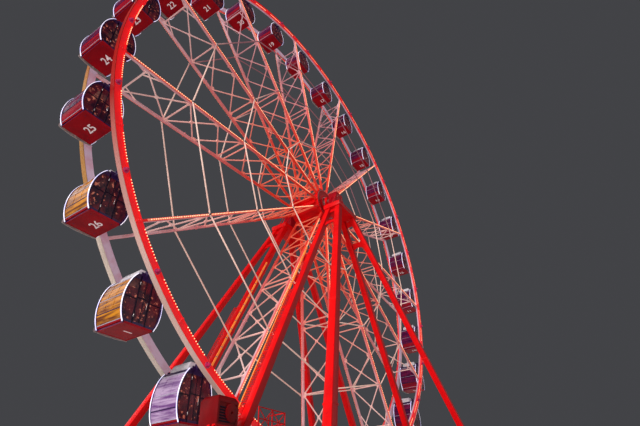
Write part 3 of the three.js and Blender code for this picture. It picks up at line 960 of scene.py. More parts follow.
def makeRimBeam():
    shape = rimShape
    inner, outer, lamps = shape["inner"], shape["outer"], shape["lampRadius"]
    lip, band = inner + shape["lip"], outer - shape["band"]
    yIn, yOut = -shape["yIn"], -shape["yOut"]
    rings = [
        (lip, band, yOut + 0.010, yIn - 0.006, rimPaint), (band, outer, yOut - 0.005, yIn + 0.005, creamBand),
        (inner, lip, yOut - 0.002, yIn + 0.002, rimPaint),
        (*about(lamps, shape["channelHalf"]), yOut - 0.008, yOut + 0.012, rimPaint)]
    return joined([hoop(hub, *ring, shape["steps"]) for ring in rings], "rimBeam")


# One bolted joint between two lengths of rim, made straight below the hub
def makeRimJoint():
    shape = rimShape
    low, high = hub.z - shape["outer"], hub.z - shape["inner"]
    yIn, yOut, reach = -shape["yIn"], -shape["yOut"], shape["boltReach"]
    y, z = (yOut - 0.014, yIn + 0.010), (low + 0.03, high + 0.028)
    pieces = [block(spanOn(side, 0.004, 0.020), y, z, rimPaint) for side in (-1, 1)]
    bolts = [(y, high + 0.014, 0.011) for y in shape["boltsAcross"]]
    bolts += [(yOut - 0.002, low + up, 0.010) for up in shape["boltsUp"]]
    pieces += [tube((-reach, y, z), (reach, y, z), radius, bareSteel, 6) for y, z, radius in bolts]
    return softened(joined(pieces, "rimJoint"), 0.003)


bearingShape = {
    "flange": 0.12, "barrel": 0.074, "cap": 0.045, "reach": 0.17, "bolts": 6, "boltCircle": 0.097,
    "inside": [(0, -0.02), (0.13, -0.02), (0.13, 0.006), (0.10, 0.012), (0, 0.012)],
}


def makeBearing():
    shape = bearingShape
    flange, barrel, cap = shape["flange"], shape["barrel"], shape["cap"]
    centre = hub + Vector((0, 0, -pivotRadius))
    outer, inner = -rimShape["yOut"], -rimShape["yIn"]
    tip = outer - shape["reach"]
    # Flange on the beam, barrel, domed cap
    outside = [(0, outer + 0.02), (flange, outer + 0.02), (flange, outer - 0.022),
               (barrel + 0.012, outer - 0.034), (barrel, outer - 0.05), (barrel, tip + 0.04),
               (cap, tip + 0.01), (0, tip)]
    inside = [(radius, inner + y) for radius, y in shape["inside"]]
    pieces = [turned(centre, outside, violetHousing, 24), turned(centre, inside, violetHousing, 20)]
    for index in range(shape["bolts"]):
        angle = index * 2 * math.pi / shape["bolts"]
        across, up = shape["boltCircle"] * math.cos(angle), shape["boltCircle"] * math.sin(angle)
        place = centre + Vector((across, outer - 0.02, up))
        pieces.append(tube(place, place + Vector((0, -0.02, 0)), 0.010, bareSteel, 6))
    return joined(pieces, "bearing")


def makeRims():
    beam = makeRimBeam()
    joint = makeRimJoint()
    joint.data.transform(aboutHub(firstAngle + pitch / 2))
    bearing = makeBearing()
    bearing.data.transform(aboutHub(firstAngle))
    for piece in (joint, bearing):
        arrayRound(piece, len(cabinNames), pitch)
    near = smooth(joined([beam, joint, bearing], "near_rim_beam"))
    lamps = makeRimLamps()
    lamps.name = "near_rim_lamps"
    far = mirrored(near, "far_rim_beam", mirrorY)
    bandSlot = list(far.data.materials).index(creamBand)
    far.data.materials[bandSlot] = amberBand
    farLamps = mirrored(lamps, "far_rim_lamps", mirrorY)
    for piece, node in ((near, "near_rim"), (far, "far_rim"), (lamps, "near_rim"), (farLamps, "far_rim")):
        placed(piece, "wheel", "red_steel", node)


makeRims()
print("rims rolled")


# Spokes: a flat braced truss made straight below the hub, then copied round

spokeShape = {
    "y": 1.0, "chordWide": 0.115, "chordDeep": 0.155, "from": 1.16, "to": 16.30,
    "bars": [1.56, 4.86, 8.36, 8.77, 12.57, 15.10],
    "cells": [(1.56, 3.15), (3.15, 4.86), (4.86, 6.60), (6.60, 8.36), (8.77, 10.65), (10.65, 12.57),
              (12.57, 15.10)],
    "knees": [((15.10, 0.78), (15.60, 0.95), 0.06, spokePaint),
              ((14.30, 0.93), (15.06, 0.60), 0.05, bracePaint)],
    "endPlate": (0.058, 0.080, 0.012), "splices": (6.0, 11.2), "collarHalf": (0.080, 0.013),
    "collarDeep": (-0.108, 0.100), "collarApart": 0.016, "collarBolts": (0.066, 0.085, 0.045),
    "brace": 0.036, "braceApart": 0.018, "bar": 0.042, "gusset": 0.16, "plate": 0.012,
    "lampFrom": 2.08, "lampTo": 15.95, "lampStep": 0.1125, "lampsPerRun": 15, "runStep": 1.745,
    "channel": 0.042,
}


def onSpoke(radius, y):
    return Vector((0, y, hub.z - radius))


def makeChord():
    shape = spokeShape
    near = -shape["y"]
    chord = bar(onSpoke(shape["from"], near), onSpoke(shape["to"], near),
                shape["chordWide"], shape["chordDeep"], (0, 1, 0), spokePaint)
    pieces = [softened(chord, 0.022, 3)]
    # Bolted end plates, splice collars and the lamp channel on the outside face
    wide, deep, thick = shape["endPlate"]
    for radius in within((shape["from"], shape["to"]), thick):
        pieces.append(block(about(0, wide), about(near, deep), about(hub.z - radius, thick), spokePaint))
    (wide, thick), deep = shape["collarHalf"], [near + y for y in shape["collarDeep"]]
    across, along, reach = shape["collarBolts"]
    for radius in shape["splices"]:
        for z in about(hub.z - radius, shape["collarApart"]):
            pieces.append(block(about(0, wide), deep, about(z, thick), spokePaint))
        for x in about(0, across):
            for y in about(near, along):
                start, end = ((x, y, z) for z in about(hub.z - radius, reach))
                pieces.append(tube(start, end, 0.011, bareSteel, 6))
    channel = block(about(0, shape["channel"]), (near - 0.094, near - 0.074),
                    (hub.z - shape["lampTo"] - 0.1, hub.z - shape["lampFrom"] + 0.1), litChannel)
    pieces.append(softened(channel, 0.003))
    return joined(pieces, "chord")


def gusset(radius, side):
    shape = spokeShape
    y = side * (shape["y"] - shape["chordDeep"] / 2)
    plate = block(about(0, shape["plate"] / 2), sorted((y, y - side * 0.16)),
                  about(hub.z - radius, shape["gusset"]), bracePaint)
    editing(plate)
    pickCorners(plate, lambda place: abs(place.y) < abs(y) - 0.1)
    bpy.ops.transform.resize(value=(1, 1, 0.45), center_override=(0, y, hub.z - radius))
    done()
    return plate


def makeTruss():
    shape = spokeShape
    nearChord = makeChord()
    pieces = [nearChord, mirrored(nearChord, "farChord", mirrorY)]
    edge = shape["y"] - shape["chordDeep"] / 2 + 0.01
    for radius in shape["bars"]:
        start, end = onSpoke(radius, -edge), onSpoke(radius, edge)
        pieces.append(tube(start, end, shape["bar"], bracePaint, 12, (1, 0, 0)))
        pieces += [gusset(radius, side) for side in (-1, 1)]
    for low, high in shape["cells"]:
        for side in (-1, 1):
            offset = Vector((side * shape["braceApart"], 0, 0))
            start, end = onSpoke(low + 0.03, -side * edge), onSpoke(high - 0.03, side * edge)
            pieces.append(tube(start + offset, end + offset, shape["brace"], bracePaint, 10, (1, 0, 0)))
            if high not in shape["bars"]:
                pieces.append(gusset(high, side))
        middle = hub.z - (low + high) / 2
        pieces.append(block(about(0, 0.05), about(0, 0.075), about(middle, 0.075), bracePaint))
    # Knees that stiffen the last bar against the chords
    for side in (-1, 1):
        for (low, lowY), (high, highY), size, finish in shape["knees"]:
            start, end = onSpoke(low, side * lowY), onSpoke(high, side * highY)
            pieces.append(bar(start, end, size, size, (1, 0, 0), finish))
    return smooth(softened(joined(pieces, "truss"), 0.004), 50)


def makeSpokes():
    shape = spokeShape
    truss = makeTruss()
    dot = lampDot(onSpoke(shape["lampFrom"], -shape["y"] - 0.096))
    runs = round((shape["lampTo"] - shape["lampFrom"]) / shape["runStep"])
    for count, step in ((shape["lampsPerRun"], shape["lampStep"]), (runs, shape["runStep"])):
        modify(dot, "ARRAY", count=count, use_relative_offset=False, use_constant_offset=True,
               constant_offset_displace=(0, 0, -step))
    lamps = joined([dot, mirrored(dot, "farDot", mirrorY)], "spokeLamps")
    strings = []
    for number, node in enumerate(spokeNames, 1):
        turn = aboutHub(firstAngle + (2 * number - 2.5) * pitch)
        placed(copied(truss, node + "_truss", turn), "wheel", "red_steel", node)
        strings.append(copied(lamps, node + "_lamps", turn))
    removed(truss)
    removed(lamps)
    placed(joined(strings, "spoke_lamps"), "wheel", "red_steel")


makeSpokes()
print("spokes set:", len(spokeNames))


# Tie rods from spoke to spoke, at three stations on each side

tieShape = {
    "y": 1.135, "radius": 0.036,
    "near": {"outer": 12.57, "middle": 8.77, "inner": 4.86},
    "far": {"outer": 12.57, "middle": 8.36, "inner": 4.86},
}


def makeTieRod(radius):
    shape = tieShape
    start, end = (hub + Vector((side * radius * math.sin(pitch), -shape["y"], -radius * math.cos(pitch)))
                  for side in (-1, 1))
    along = (end - start).normalized()
    rod = tube(start + along * 0.16, end - along * 0.16, shape["radius"], tiePaint, 12)
    editing(rod)
    # Draw each end down to the threaded stub
    pickFaces(rod, lambda middle, normal: abs(normal.x) > 0.9)
    bpy.ops.mesh.inset(thickness=0.012, depth=0)
    done()
    pieces = [rod]
    for place, side in ((start, 1), (end, -1)):
        near, far = place + along * 0.03 * side, place + along * 0.19 * side
        pieces.append(bar(near, far, 0.075, 0.045, (0, 1, 0), tiePaint))
        front, back = place + Vector((0, -0.045, 0)), place + Vector((0, 0.055, 0))
        pieces.append(tube(front, back, 0.055, bareSteel, 10, (1, 0, 0)))
    return joined(pieces, "tieRod")


def makeTieRings():
    for station in ("outer", "middle", "inner"):
        for face in ("near", "far"):
            ring = softened(makeTieRod(tieShape[face][station]), 0.004)
            ring.data.transform(aboutHub(firstAngle + pitch / 2))
            arrayRound(ring, len(spokeNames), 2 * pitch)
            name = face + "_" + station + "_ties"
            if face == "far":
                nearSide = ring
                ring = mirrored(nearSide, name, mirrorY)
                removed(nearSide)
            ring = smooth(joined([ring], name), 50)
            placed(ring, "wheel", "red_steel", face + "_" + station + "_tie_ring")


makeTieRings()
print("tie rods fitted")


# Hub: flanged drum on a fixed axle, held in two heads

hubShape = {
    "flangeOuter": 1.13, "flangeInner": 0.87, "flangeRadius": 1.15, "drumRadius": 0.82, "bore": 0.368,
    "ribs": 26, "ribRise": 0.22, "boltRings": [(1.075, 52, 0.022), (0.52, 26, 0.026)], "shoe": 0.10,
    "axleRadius": 0.358, "axleEnd": 1.555, "collarAt": 1.36, "collarHalf": 0.10,
}


def makeDrum():
    shape = hubShape
    outer, inner = shape["flangeOuter"], shape["flangeInner"]
    rim, barrel, bore = shape["flangeRadius"], shape["drumRadius"], shape["bore"]
    half = [(bore, outer), (0.62, outer), (0.66, outer - 0.03), (rim - 0.16, outer - 0.03),
            (rim - 0.13, outer), (rim - 0.01, outer), (rim, outer - 0.01), (rim, inner + 0.01),
            (rim - 0.01, inner), (barrel + 0.03, inner), (barrel, inner - 0.03)]
    points = [(radius, -y) for radius, y in half] + half[::-1] + [(bore, -outer)]
    drum = turned(hub, points, redPaint, 78)
    low, high = hub.z - rim, hub.z - barrel
    rib = block(about(0, 0.012), about(0, inner + 0.01), (low + 0.04, high + 0.02), redPaint)
    editing(rib)
    pickSide(rib, (0, 0, -1))
    bpy.ops.mesh.subdivide(number_cuts=2)
    pickCorners(rib, lambda place: place.z < low + 0.1 and abs(place.y) < 0.5)
    bpy.ops.transform.translate(value=(0, 0, shape["ribRise"]))
    done()
    rib.data.transform(aboutHub(firstAngle))
    arrayRound(rib, shape["ribs"] // 2, 2 * pitch)
    pieces = [drum, rib]
    for radius, count, size in shape["boltRings"]:
        place = hub + Vector((0, -outer - 0.016, -radius))
        bolt = tube(place, place + Vector((0, 0.03, 0)), size, bareSteel, 6)
        arrayRound(bolt, count, 2 * math.pi / count)
        pieces += [bolt, mirrored(bolt, "farBolt", mirrorY)]
    # Spoke feet: a welded shoe on the flange edge for every chord
    size = shape["shoe"]
    shoe = block(about(0, size), within((-outer, -inner), 0.02), (low - 0.02, low + size), redPaint)
    shoe.data.transform(aboutHub(firstAngle - pitch / 2))
    arrayRound(shoe, len(spokeNames), 2 * pitch)
    pieces += [shoe, mirrored(shoe, "farShoe", mirrorY)]
    drum = smooth(joined(pieces, "hub_drum_turned"))
    placed(drum, "wheel", "red_steel", "hub_drum")


def makeAxle():
    shape = hubShape
    end, radius = shape["axleEnd"], shape["axleRadius"]
    half = [(0, end), (radius, end), (radius, 1.32), (radius - 0.01, 1.30)]
    pieces = [turned(hub, [(across, -y) for across, y in half] + half[::-1], bareSteel, 48)]
    for y in about(0, shape["collarAt"]):
        collar = about(y, shape["collarHalf"])
        pieces.append(hoop(hub, radius - 0.01, radius + 0.10, *collar, redPaint, 48))
    placed(smooth(softened(joined(pieces, "axle_turned"), 0.01)), "stand", "bare_steel", "axle")


headShape = {
    "blockHalfLow": 0.62, "blockHalfHigh": 0.385, "blockOuter": 2.245, "plateTop": 19.745, "edge": 0.02,
    "cover": [(0, 0.02), (0.38, 0.02), (0.38, -0.03), (0.34, -0.045), (0.20, -0.045), (0.17, -0.06),
              (0, -0.062)],
    "coverBolts": 12, "boltCircle": 0.29, "boltRadius": 0.022, "plateBolts": (0.74, 0.88, 1.02),
}


# A cap plate on the tops of the legs, with a tapered bearing block and its cover on it
def makeHead():
    shape = headShape
    low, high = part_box("near_head")
    edge, back, plateTop = shape["edge"], -shape["blockOuter"], shape["plateTop"]
    wide, narrow = shape["blockHalfLow"], shape["blockHalfHigh"]
    inner, width = high[1] - edge, high[0] - edge
    plate = block(about(0, width), (low[1] + edge, inner), (low[2] + 0.01, plateTop), redPaint)
    body = block(about(0, wide), (back, inner), (plateTop - 0.01, high[2] - edge), maroonPanel)
    editing(body)
    pickCorners(body, lambda place: place.z > hub.z)
    bpy.ops.transform.resize(value=(narrow / wide, 1, 1), center_override=(0, back, high[2]))
    pickSide(body, (0, -1, 0))
    recess(0.07, 0.04, (0, 1, 0))
    done()
    pieces = [softened(plate, 0.015, 2), softened(body, 0.03, 2)]
    front = back + 0.055
    pieces.append(turned(hub, [(radius, front + y) for radius, y in shape["cover"]], redPaint, 40))
    start, end = (hub + Vector((0, front - y, -shape["boltCircle"])) for y in (0.055, 0.03))
    bolt = tube(start, end, shape["boltRadius"], bareSteel, 6)
    pieces.append(arrayRound(bolt, shape["coverBolts"], 2 * math.pi / shape["coverBolts"]))
    # Stiffeners from the cap plate up the sides of the block, and bolts through the plate
    for side in (-1, 1):
        for y in (back + 0.03, (back + inner) / 2, inner - 0.03):
            foot = (side * (width - 0.10), y, plateTop)
            crown = (side * (narrow + 0.10), y, hub.z + 0.05)
            pieces.append(bar(foot, crown, 0.05, 0.024, (0, 1, 0), redPaint))
        for x in shape["plateBolts"]:
            for y in (low[1] + 0.08, inner - 0.08):
                start, end = (side * x, y, plateTop), (side * x, y, plateTop + 0.03)
                pieces.append(tube(start, end, 0.02, bareSteel, 6, (1, 0, 0)))
    near = smooth(joined(pieces, "near_head_cast"))
    placedPair(near, "red_steel", "near_head", "far_head_cast", "far_head", mirrorY)


makeDrum()
makeAxle()
makeHead()
print("hub assembled")


# Legs: box sections with rounded edges, bolted joints, webs below the heads

legShape = {
    "width": 0.385, "depth": 0.365, "foot": 0.452, "top": 19.398,
    "inner": {"top": (0.22, 1.87), "foot": (10.92, 1.87)},
    "outer": {"top": (0.22, 2.30), "foot": (10.92, 6.69)},
    "joints": (0.27, 0.53, 0.76), "collar": 0.010, "plateReach": 0.12, "plateHalf": 0.018,
    "webs": ((17.42, 17.94, 0.22), (18.92, 19.34, 0.08)), "webThick": 0.07,
}


def legMiddle(line, z):
    foot, top = (Vector(legShape[line][end]) for end in ("foot", "top"))
    x, y = foot.lerp(top, z / hub.z)
    return Vector((-x, -y, z))


# A box that reaches as far as given both ways from its middle
def blockAt(middle, reach, finish):
    return block(*(about(place, half) for place, half in zip(middle, reach)), finish)


def makeLeg(line):
    shape = legShape
    half = Vector((shape["width"] / 2, shape["depth"] / 2, 0))
    low, high = legMiddle(line, shape["foot"]), legMiddle(line, shape["top"])
    leg = sheet(low, shape["width"], shape["depth"], redPaint)
    editing(leg)
    pushOut(1, high - low)
    done()
    pieces = [softened(outward(leg), 0.03, 3)]
    # Thin collars where two lengths of leg meet
    collar = half + Vector((shape["collar"], shape["collar"], shape["plateHalf"]))
    for share in shape["joints"]:
        z = shape["foot"] + (shape["top"] - shape["foot"]) * share
        pieces += [blockAt(legMiddle(line, z + step), collar, redPaint) for step in (-0.022, 0.022)]
    # Foot plate with gussets
    middle = legMiddle(line, shape["foot"] + 0.02)
    reach = half + Vector((shape["plateReach"], shape["plateReach"], shape["plateHalf"]))
    pieces.append(blockAt(middle, reach, redPaint))
    for x in (-0.12, 0.12):
        for side in (-1, 1):
            y = sorted((middle.y, middle.y + side * (half.y + 0.10)))
            rib = block(about(middle.x + x, 0.012), y, (middle.z, middle.z + 0.30), redPaint)
            editing(rib)
            pickCorners(rib, lambda place: place.z > middle.z + 0.2)
            bpy.ops.transform.resize(value=(1, 0.68, 1), center_override=middle)
            done()
            pieces.append(rib)
    return joined(pieces, "leg")


# A plate between the two legs of a pair, with an arched lower edge
def makeWeb(low, high, arch):
    pickNothing()
    bpy.ops.mesh.primitive_grid_add(x_subdivisions=8, y_subdivisions=1, size=1)
    web = settle(redPaint)
    for corner in web.data.vertices:
        across = corner.co.x + 0.5
        z = high if corner.co.y > 0 else low + arch * 4 * across * (1 - across)
        corner.co = legMiddle("inner", z).lerp(legMiddle("outer", z), across)
    modify(web, "SOLIDIFY", thickness=legShape["webThick"], offset=0)
    return softened(outward(web), 0.008)


ladderShape = {
    "reach": (0.01, 0.62), "rungs": 116, "rails": (0.21, 0.44), "rail": 0.018, "rung": 0.013, "clips": 14,
    "legSide": 0.15, "crossInset": 0.012, "ductTo": 0.80, "duct": 0.052, "ductInset": 0.03, "strap": 0.022,
}


# Cable tray up the rear side of an inner leg, with a duct on the side towards the wheel whose orange glow is
# painted warm light
def makeLadder(flip, ductAt):
    shape = ladderShape
    (first, last), (low, high), ductTo = shape["rails"], shape["reach"], shape["ductTo"]
    clips, cross, ductIn, strap = shape["clips"], shape["crossInset"], shape["ductInset"], shape["strap"]
    span = legShape["top"] - legShape["foot"]
    edge = legShape["width"] / 2 - 0.03

    def at(share, across, inset=0.0):
        middle = legMiddle("inner", legShape["foot"] + span * share)
        return Vector((middle.x - edge + inset, middle.y * flip + across, middle.z))

    pieces = [tube(at(low, y), at(high, y), shape["rail"], redPaint, 8) for y in (first, last)]
    step = (high - low) / shape["rungs"]
    for index in range(shape["rungs"]):
        share = low + index * step
        pieces.append(tube(at(share, first), at(share, last), shape["rung"], redPaint, 6, (1, 0, 0)))
        start, end = (first, last) if index % 2 else (last, first)
        start, end = at(share, start, cross), at(share + step, end, cross)
        pieces.append(tube(start, end, shape["rung"] * 0.7, redPaint, 6))
    for index in range(clips):
        share = low + (high - low) * (index + 0.5) / clips
        pieces.append(bar(at(share, shape["legSide"]), at(share, last), 0.03, 0.03, (1, 0, 0), redPaint))
    pieces.append(tube(at(low, ductAt, ductIn), at(ductTo, ductAt, ductIn), shape["duct"], warmDuct, 12))
    legSide = math.copysign(shape["legSide"], ductAt)
    for index in range(2 * clips):
        share = low + (ductTo - low) * (index + 0.5) / (2 * clips)
        start, end = at(share, ductAt, ductIn), at(share + 0.002, ductAt, ductIn)
        pieces.append(tube(start, end, shape["duct"] + 0.008, bareSteel, 12))
        pieces.append(bar(start, at(share, legSide, ductIn), strap, strap, (1, 0, 0), redPaint))
    return smooth(joined(pieces, "ladder"), 50)


def makeLegs():
    parts = [makeLeg("inner"), makeLeg("outer")] + [makeWeb(*web) for web in legShape["webs"]]
    pair = smooth(softened(joined(parts, "pair"), 0.004))
    turns = {"near_left": (1, 1), "near_right": (-1, 1), "far_left": (1, -1), "far_right": (-1, -1)}
    for corner, (sideX, sideY) in turns.items():
        matrix = Matrix.Diagonal((sideX, sideY, 1, 1))
        make = mirrored if sideX * sideY < 0 else copied
        placed(make(pair, corner + "_leg_pair", matrix), "stand", "red_steel", corner + "_legs")
    removed(pair)
    for name, flip, ductAt in (("near", 1, 0.49), ("far", -1, -0.245)):
        tray = makeLadder(flip, ductAt)
        tray.name = name + "_left_cable_tray"
        placed(tray, "stand", "red_steel")


makeLegs()
print("legs raised")


# Base beams with stiffeners and screw feet

baseShape = {
    "half": 0.19, "flange": 0.035, "web": 0.02, "short": 0.02, "stiffeners": 15, "plateHalf": 0.3,
    "feet": (0.5, 3.2),
}


def makeBase():
    shape = baseShape
    low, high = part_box("left_base_beam")
    x, y, top = (low[0], high[0]), (low[1], high[1]), high[2]
    beam, flange, inside = shape["half"], shape["flange"], (0.03, top - 0.03)
    pieces = []
    # Two rolled sections side by side, tied by plates
    for middle in within(x, beam):
        for half, z in ((beam, (0.0, flange)), (beam, (top - flange, top)), (shape["web"], inside)):
            pieces.append(block(about(middle, half), within(y, shape["short"]), z, greySteel))
    for index, at in enumerate(spaced(within(y, 0.25), shape["stiffeners"])):
        pieces.append(block(within(x, 0.01), about(at, 0.012), inside, greySteel))
        if index % 2:
            plate = (top - 0.03, top - 0.004)
            pieces.append(block(within(x, 0.30), about(at, shape["plateHalf"]), plate, greySteel))
    # Screw feet: a plate, a spindle and its nut
    middle = (x[0] + x[1]) / 2
    for at in [place for inset in shape["feet"] for place in within(y, inset)]:
        for start, end, radius, finish, sides in (
                (0.0, 0.05, 0.24, greySteel, 20), (0.04, inside[1], 0.06, bareSteel, 12),
                (0.20, 0.28, 0.13, bareSteel, 6)):
            pieces.append(tube((middle, at, start), (middle, at, end), radius, finish, sides, (1, 0, 0)))
    left = smooth(softened(joined(pieces, "left_base_frame"), 0.006))
    placedPair(left, "grey_steel", "left_base_beam", "right_base_frame", "right_base_beam", mirrorX)


makeBase()
print("base laid")


# Service landings at the near inner legs

landingShape = {
    "floor": 5.12, "beam": 0.20, "deck": (-8.00, -6.35), "rail": 0.87, "post": 0.024, "bars": 16,
    "joists": 9, "railHeights": (0.08, 0.45, 0.84), "cross": (0.1, 0.82), "crossRadius": 0.016,
    "cowl": ((-10.08, -9.07), (-2.40, -1.58), 0.78), "vents": 6, "ventFrom": 0.12, "ventStep": 0.085,
    "guardRadius": 0.30, "guardBore": 0.05, "guardIn": 0.33, "guardUp": 0.42,
}


def makeLandingFloor(x, y, beamBack):
    shape = landingShape
    floor, deck = shape["floor"], shape["deck"]
    bottom = floor - shape["beam"]
    front, back = y
    flange, web = (front, front + 0.14), (front + 0.05, front + 0.09)
    beams = [(flange, (bottom, floor - 0.16)), (flange, (floor - 0.04, floor)),
             (web, (floor - 0.18, floor - 0.02)), ((beamBack - 0.12, beamBack), (bottom, floor))]
    pieces = [block(x, deep, tall, redPaint) for deep, tall in beams]
    for middle in spaced(within(x, 0.1), shape["joists"]):
        pieces.append(block(about(middle, 0.03), (front, beamBack), (floor - 0.18, floor - 0.03), redPaint))
    # Grating bars over the deck, on two bearers
    for middle in spaced(within(deck, 0.05), shape["bars"]):
        pieces.append(block(about(middle, 0.008), within(y, 0.02), (floor - 0.05, floor), greySteel))
    for start in (beamBack + 0.10, back - 0.05):
        pieces.append(block(deck, (start, start + 0.05), (floor - 0.085, floor - 0.005), redPaint))
    return pieces


# Railing along the front and across the inner end
def makeRailing(front, back):
    shape = landingShape
    floor, (start, end) = shape["floor"], within(shape["deck"], 0.03)
    posts = [(start, front), ((start + end) / 2, front), (end, front), (end, back)]
    sides = list(zip(posts, posts[1:]))
    pieces = []
    for x, y in posts:
        low, high = floor - 0.05, floor + shape["rail"] - 0.01
        pieces.append(tube((x, y, low), (x, y, high), shape["post"], redPaint, 10))
    for z in shape["railHeights"]:
        for near, far in sides:
            near, far = (*near, floor + z), (*far, floor + z)
            pieces.append(tube(near, far, shape["post"] * 0.9, redPaint, 10, (0, 0, 1)))
    for near, far in sides[:2]:
        for low, high in (shape["cross"], shape["cross"][::-1]):
            start, end = (*near, floor + low), (*far, floor + high)
            pieces.append(tube(start, end, shape["crossRadius"], redPaint, 8, (0, 0, 1)))
    return pieces


# Drive housing with a rounded cowl, vents and a belt guard
def makeDrive(front):
    shape = landingShape
    floor, (x, y, tall) = shape["floor"], shape["cowl"]
    (left, right), cowlFront = x, y[0]
    cowl = block(x, y, (floor - 0.04, floor + tall), machineRed)
    editing(cowl)
    pickSide(cowl, (0, 0, 1))
    pushOut(0.15, (0, 0, 1))
    crown = ((left + right) / 2, (y[0] + y[1]) / 2, floor + tall)
    bpy.ops.transform.resize(value=(0.8, 0.8, 1), center_override=crown)
    pickSide(cowl, (0, -1, 0))
    recess(0.08, 0.03, (0, 1, 0))
    done()
    pieces = [softened(cowl, 0.03, 2)]
    for index in range(shape["vents"]):
        z = floor + shape["ventFrom"] + index * shape["ventStep"]
        pieces.append(bar((left + 0.13, cowlFront + 0.015, z), (right - 0.38, cowlFront + 0.015, z),
                          0.05, 0.015, (0, 1, 0.6), doorFrame))
    outer, bore = shape["guardRadius"], shape["guardBore"]
    outline = [(bore, 0.005), (outer - 0.04, 0.005), (outer, 0.02), (outer, 0.06), (bore, 0.06),
               (bore, 0.005)]
    guard = [(radius, front + deep) for radius, deep in outline]
    centre = Vector((right - shape["guardIn"], 0, floor + shape["guardUp"]))
    return pieces + [turned(centre, guard, machineRed, 32)]


def makeLanding():
    low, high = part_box("left_landing")
    x, y = (low[0], high[0]), (low[1], high[1])
    beamBack = legMiddle("inner", landingShape["floor"]).y - legShape["depth"] / 2 - 0.01
    pieces = makeLandingFloor(x, y, beamBack) + makeRailing(*within(y, 0.03)) + makeDrive(y[0])
    left = smooth(softened(joined(pieces, "left_landing_frame"), 0.005))
    placedPair(left, "red_steel", "left_landing", "right_landing_frame", "right_landing", mirrorX)


makeLanding()
print("landings built")


# Boarding platform: boarded deck on beams, posts, sills and a flight of steps

platformShape = {
    "half": 5.6, "front": -5.2, "back": 3.4, "top": 2.05, "thick": 0.16, "post": 0.24, "sill": 0.30,
    "board": 0.20, "beamHalf": 0.05, "crossBeams": (-2.3, 0.5), "longBeams": (-2.8, 0, 2.8), "ribs": 21,
    "steps": 10, "going": 0.30, "stepHalf": 1.8,
}


def makeDeck():
    shape = platformShape
    half, top, beam, ends = shape["half"], shape["top"], shape["beamHalf"], (shape["front"], shape["back"])
    tall = (top - shape["thick"], top - 0.035)
    count = round((ends[1] - ends[0]) / shape["board"])
    edges = spaced(ends, count + 1)
    pieces = []
    for y in zip(edges, edges[1:]):
        pieces.append(block(about(0, half - 0.05), within(y, 0.004), (top - 0.04, top - 0.004), deckGrip))
    first, last = within(ends, beam)
    for y in (first, *shape["crossBeams"], last):
        pieces.append(block(about(0, half), about(y, beam), tall, greySteel))
    for x in (beam - half, *shape["longBeams"], half - beam):
        pieces.append(block(about(x, beam), ends, tall, greySteel))
    return pieces


# Sill beams on the ground with their ribs, and the posts on them
def makeSills(length):
    shape = platformShape
    post, sill = shape["post"], shape["sill"]
    half, inside = post / 2, (0.02, sill - 0.02)
    pieces = []
    for y in within((shape["front"], shape["back"]), post):
        for z in (0.0, sill - 0.03):
            pieces.append(block(within(length, 0.01), about(y, half), (z, z + 0.03), greySteel))
        pieces.append(block(within(length, 0.01), about(y, 0.015), inside, greySteel))
        for x in spaced(within(length, 0.4), shape["ribs"]):
            pieces.append(block(about(x, 0.01), about(y, half - 0.01), inside, greySteel))
        for x in (post - shape["half"], 0, shape["half"] - post):
            tall = (0, shape["top"] - shape["thick"] + 0.02)
            pieces.append(block(about(x, half), about(y, half), tall, greySteel))
    return pieces


def makeSteps():
    shape = platformShape
    front, top, going, half = shape["front"], shape["top"], shape["going"], shape["stepHalf"]
    rise = top / shape["steps"]
    pieces = []
    for index in range(1, shape["steps"]):
        z = top - index * rise
        y = front - index * going
        tread = block(about(0, half - 0.06), (y, y + going + 0.02), (z - 0.04, z - 0.002), deckGrip)
        editing(tread)
        pickSide(tread, (0, -1, 0))
        recess(0.006, 0.006, (0, 1, 0))
        done()
        foot = 0 if index > 8 else z - rise
        riser = block(about(0, half - 0.08), (y + 0.10, y + 0.12), (foot, z - 0.03), greySteel)
        pieces += [tread, riser]
    for x in about(0, half - 0.04):
        foot = (x, front - (shape["steps"] - 1) * going + 0.18, 0.12)
        pieces.append(bar(foot, (x, front + 0.1, top - 0.14), 0.22, 0.06, (1, 0, 0), greySteel))
    return pieces


def makePlatform():
    low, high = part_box("boarding_platform")
    pieces = makeDeck() + makeSills((low[0], high[0])) + makeSteps()
    platform = smooth(softened(joined(pieces, "platform_frame"), 0.005))
    placed(platform, "stand", "grey_steel", "boarding_platform")


makePlatform()
print("platform boarded")


# Floor, lights and camera

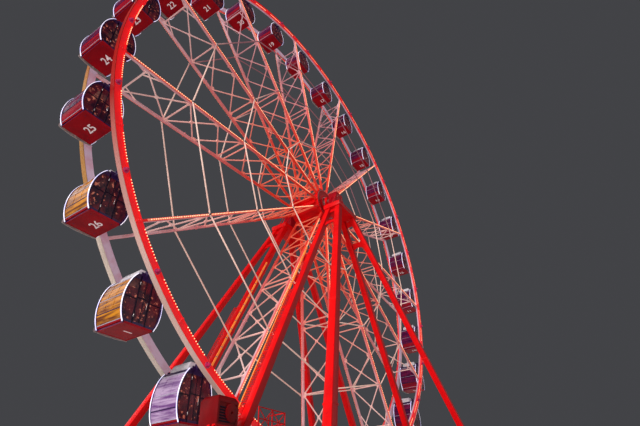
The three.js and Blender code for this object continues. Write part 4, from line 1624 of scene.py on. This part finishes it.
def makeStage():
    material, tree, shader, place = newMaterial("paleFloor")
    pale = addMix(tree, addNoise(tree, place, 0.08, 4), (0.62, 0.62, 0.61), (0.70, 0.70, 0.69))
    tree.links.new(pale, shader.inputs["Base Color"])
    shader.inputs["Roughness"].default_value = 0.8
    floor = sheet((0, 0, 0), 800, 800, material)
    floor.name = "studioFloor"


def makeLights():
    world = bpy.data.worlds.new("studio")
    bpy.context.scene.world = world
    world.use_nodes = True
    setInputs(world.node_tree.nodes["Background"], {"Color": (0.055, 0.056, 0.062, 1), "Strength": 1.0})
    for name, strength, angle, direction in (
            ("key", 3.0, 25, (0.88, 0.12, -0.40)), ("fill", 0.4, 50, (-0.6, 0.6, -0.30)),
            ("back", 0.6, 40, (0.2, -0.9, -0.4)), ("low", 0.6, 40, (0.85, 0.38, 0.02))):
        lamp = bpy.data.lights.new(name, "SUN")
        lamp.energy = strength
        lamp.angle = math.radians(angle)
        holder = bpy.data.objects.new(name, lamp)
        bpy.context.collection.objects.link(holder)
        holder.rotation_euler = Vector(direction).to_track_quat("-Z", "Y").to_euler()
        holder.location = (0, 0, 60)


# Fitted to the photograph: its frame is 640 wide, with a focal length of 426.51 pixels
cameraFacts = {
    "place": (-21.021, -13.318, 2.394),
    "right": (0.541584, -0.839781, -0.038138), "down": (0.477998, 0.344951, -0.807791),
    "ahead": (0.691523, 0.419256, 0.588234),
    "focalPixels": 426.51, "frameWidth": 640, "sensor": 36,
}


def makeCamera():
    facts = cameraFacts
    lens = bpy.data.cameras.new("photoView")
    lens.sensor_width = facts["sensor"]
    lens.lens = facts["focalPixels"] * facts["sensor"] / facts["frameWidth"]
    lens.clip_end = 2000
    camera = bpy.data.objects.new("photoView", lens)
    bpy.context.collection.objects.link(camera)
    right, down, ahead = (Vector(facts[way]) for way in ("right", "down", "ahead"))
    turn = Matrix((right, -down, -ahead)).transposed().to_4x4()
    camera.matrix_world = Matrix.Translation(facts["place"]) @ turn
    bpy.context.scene.camera = camera


makeStage()
makeLights()
makeCamera()
bpy.context.scene.view_settings.view_transform = "Standard"
print("studio ready")
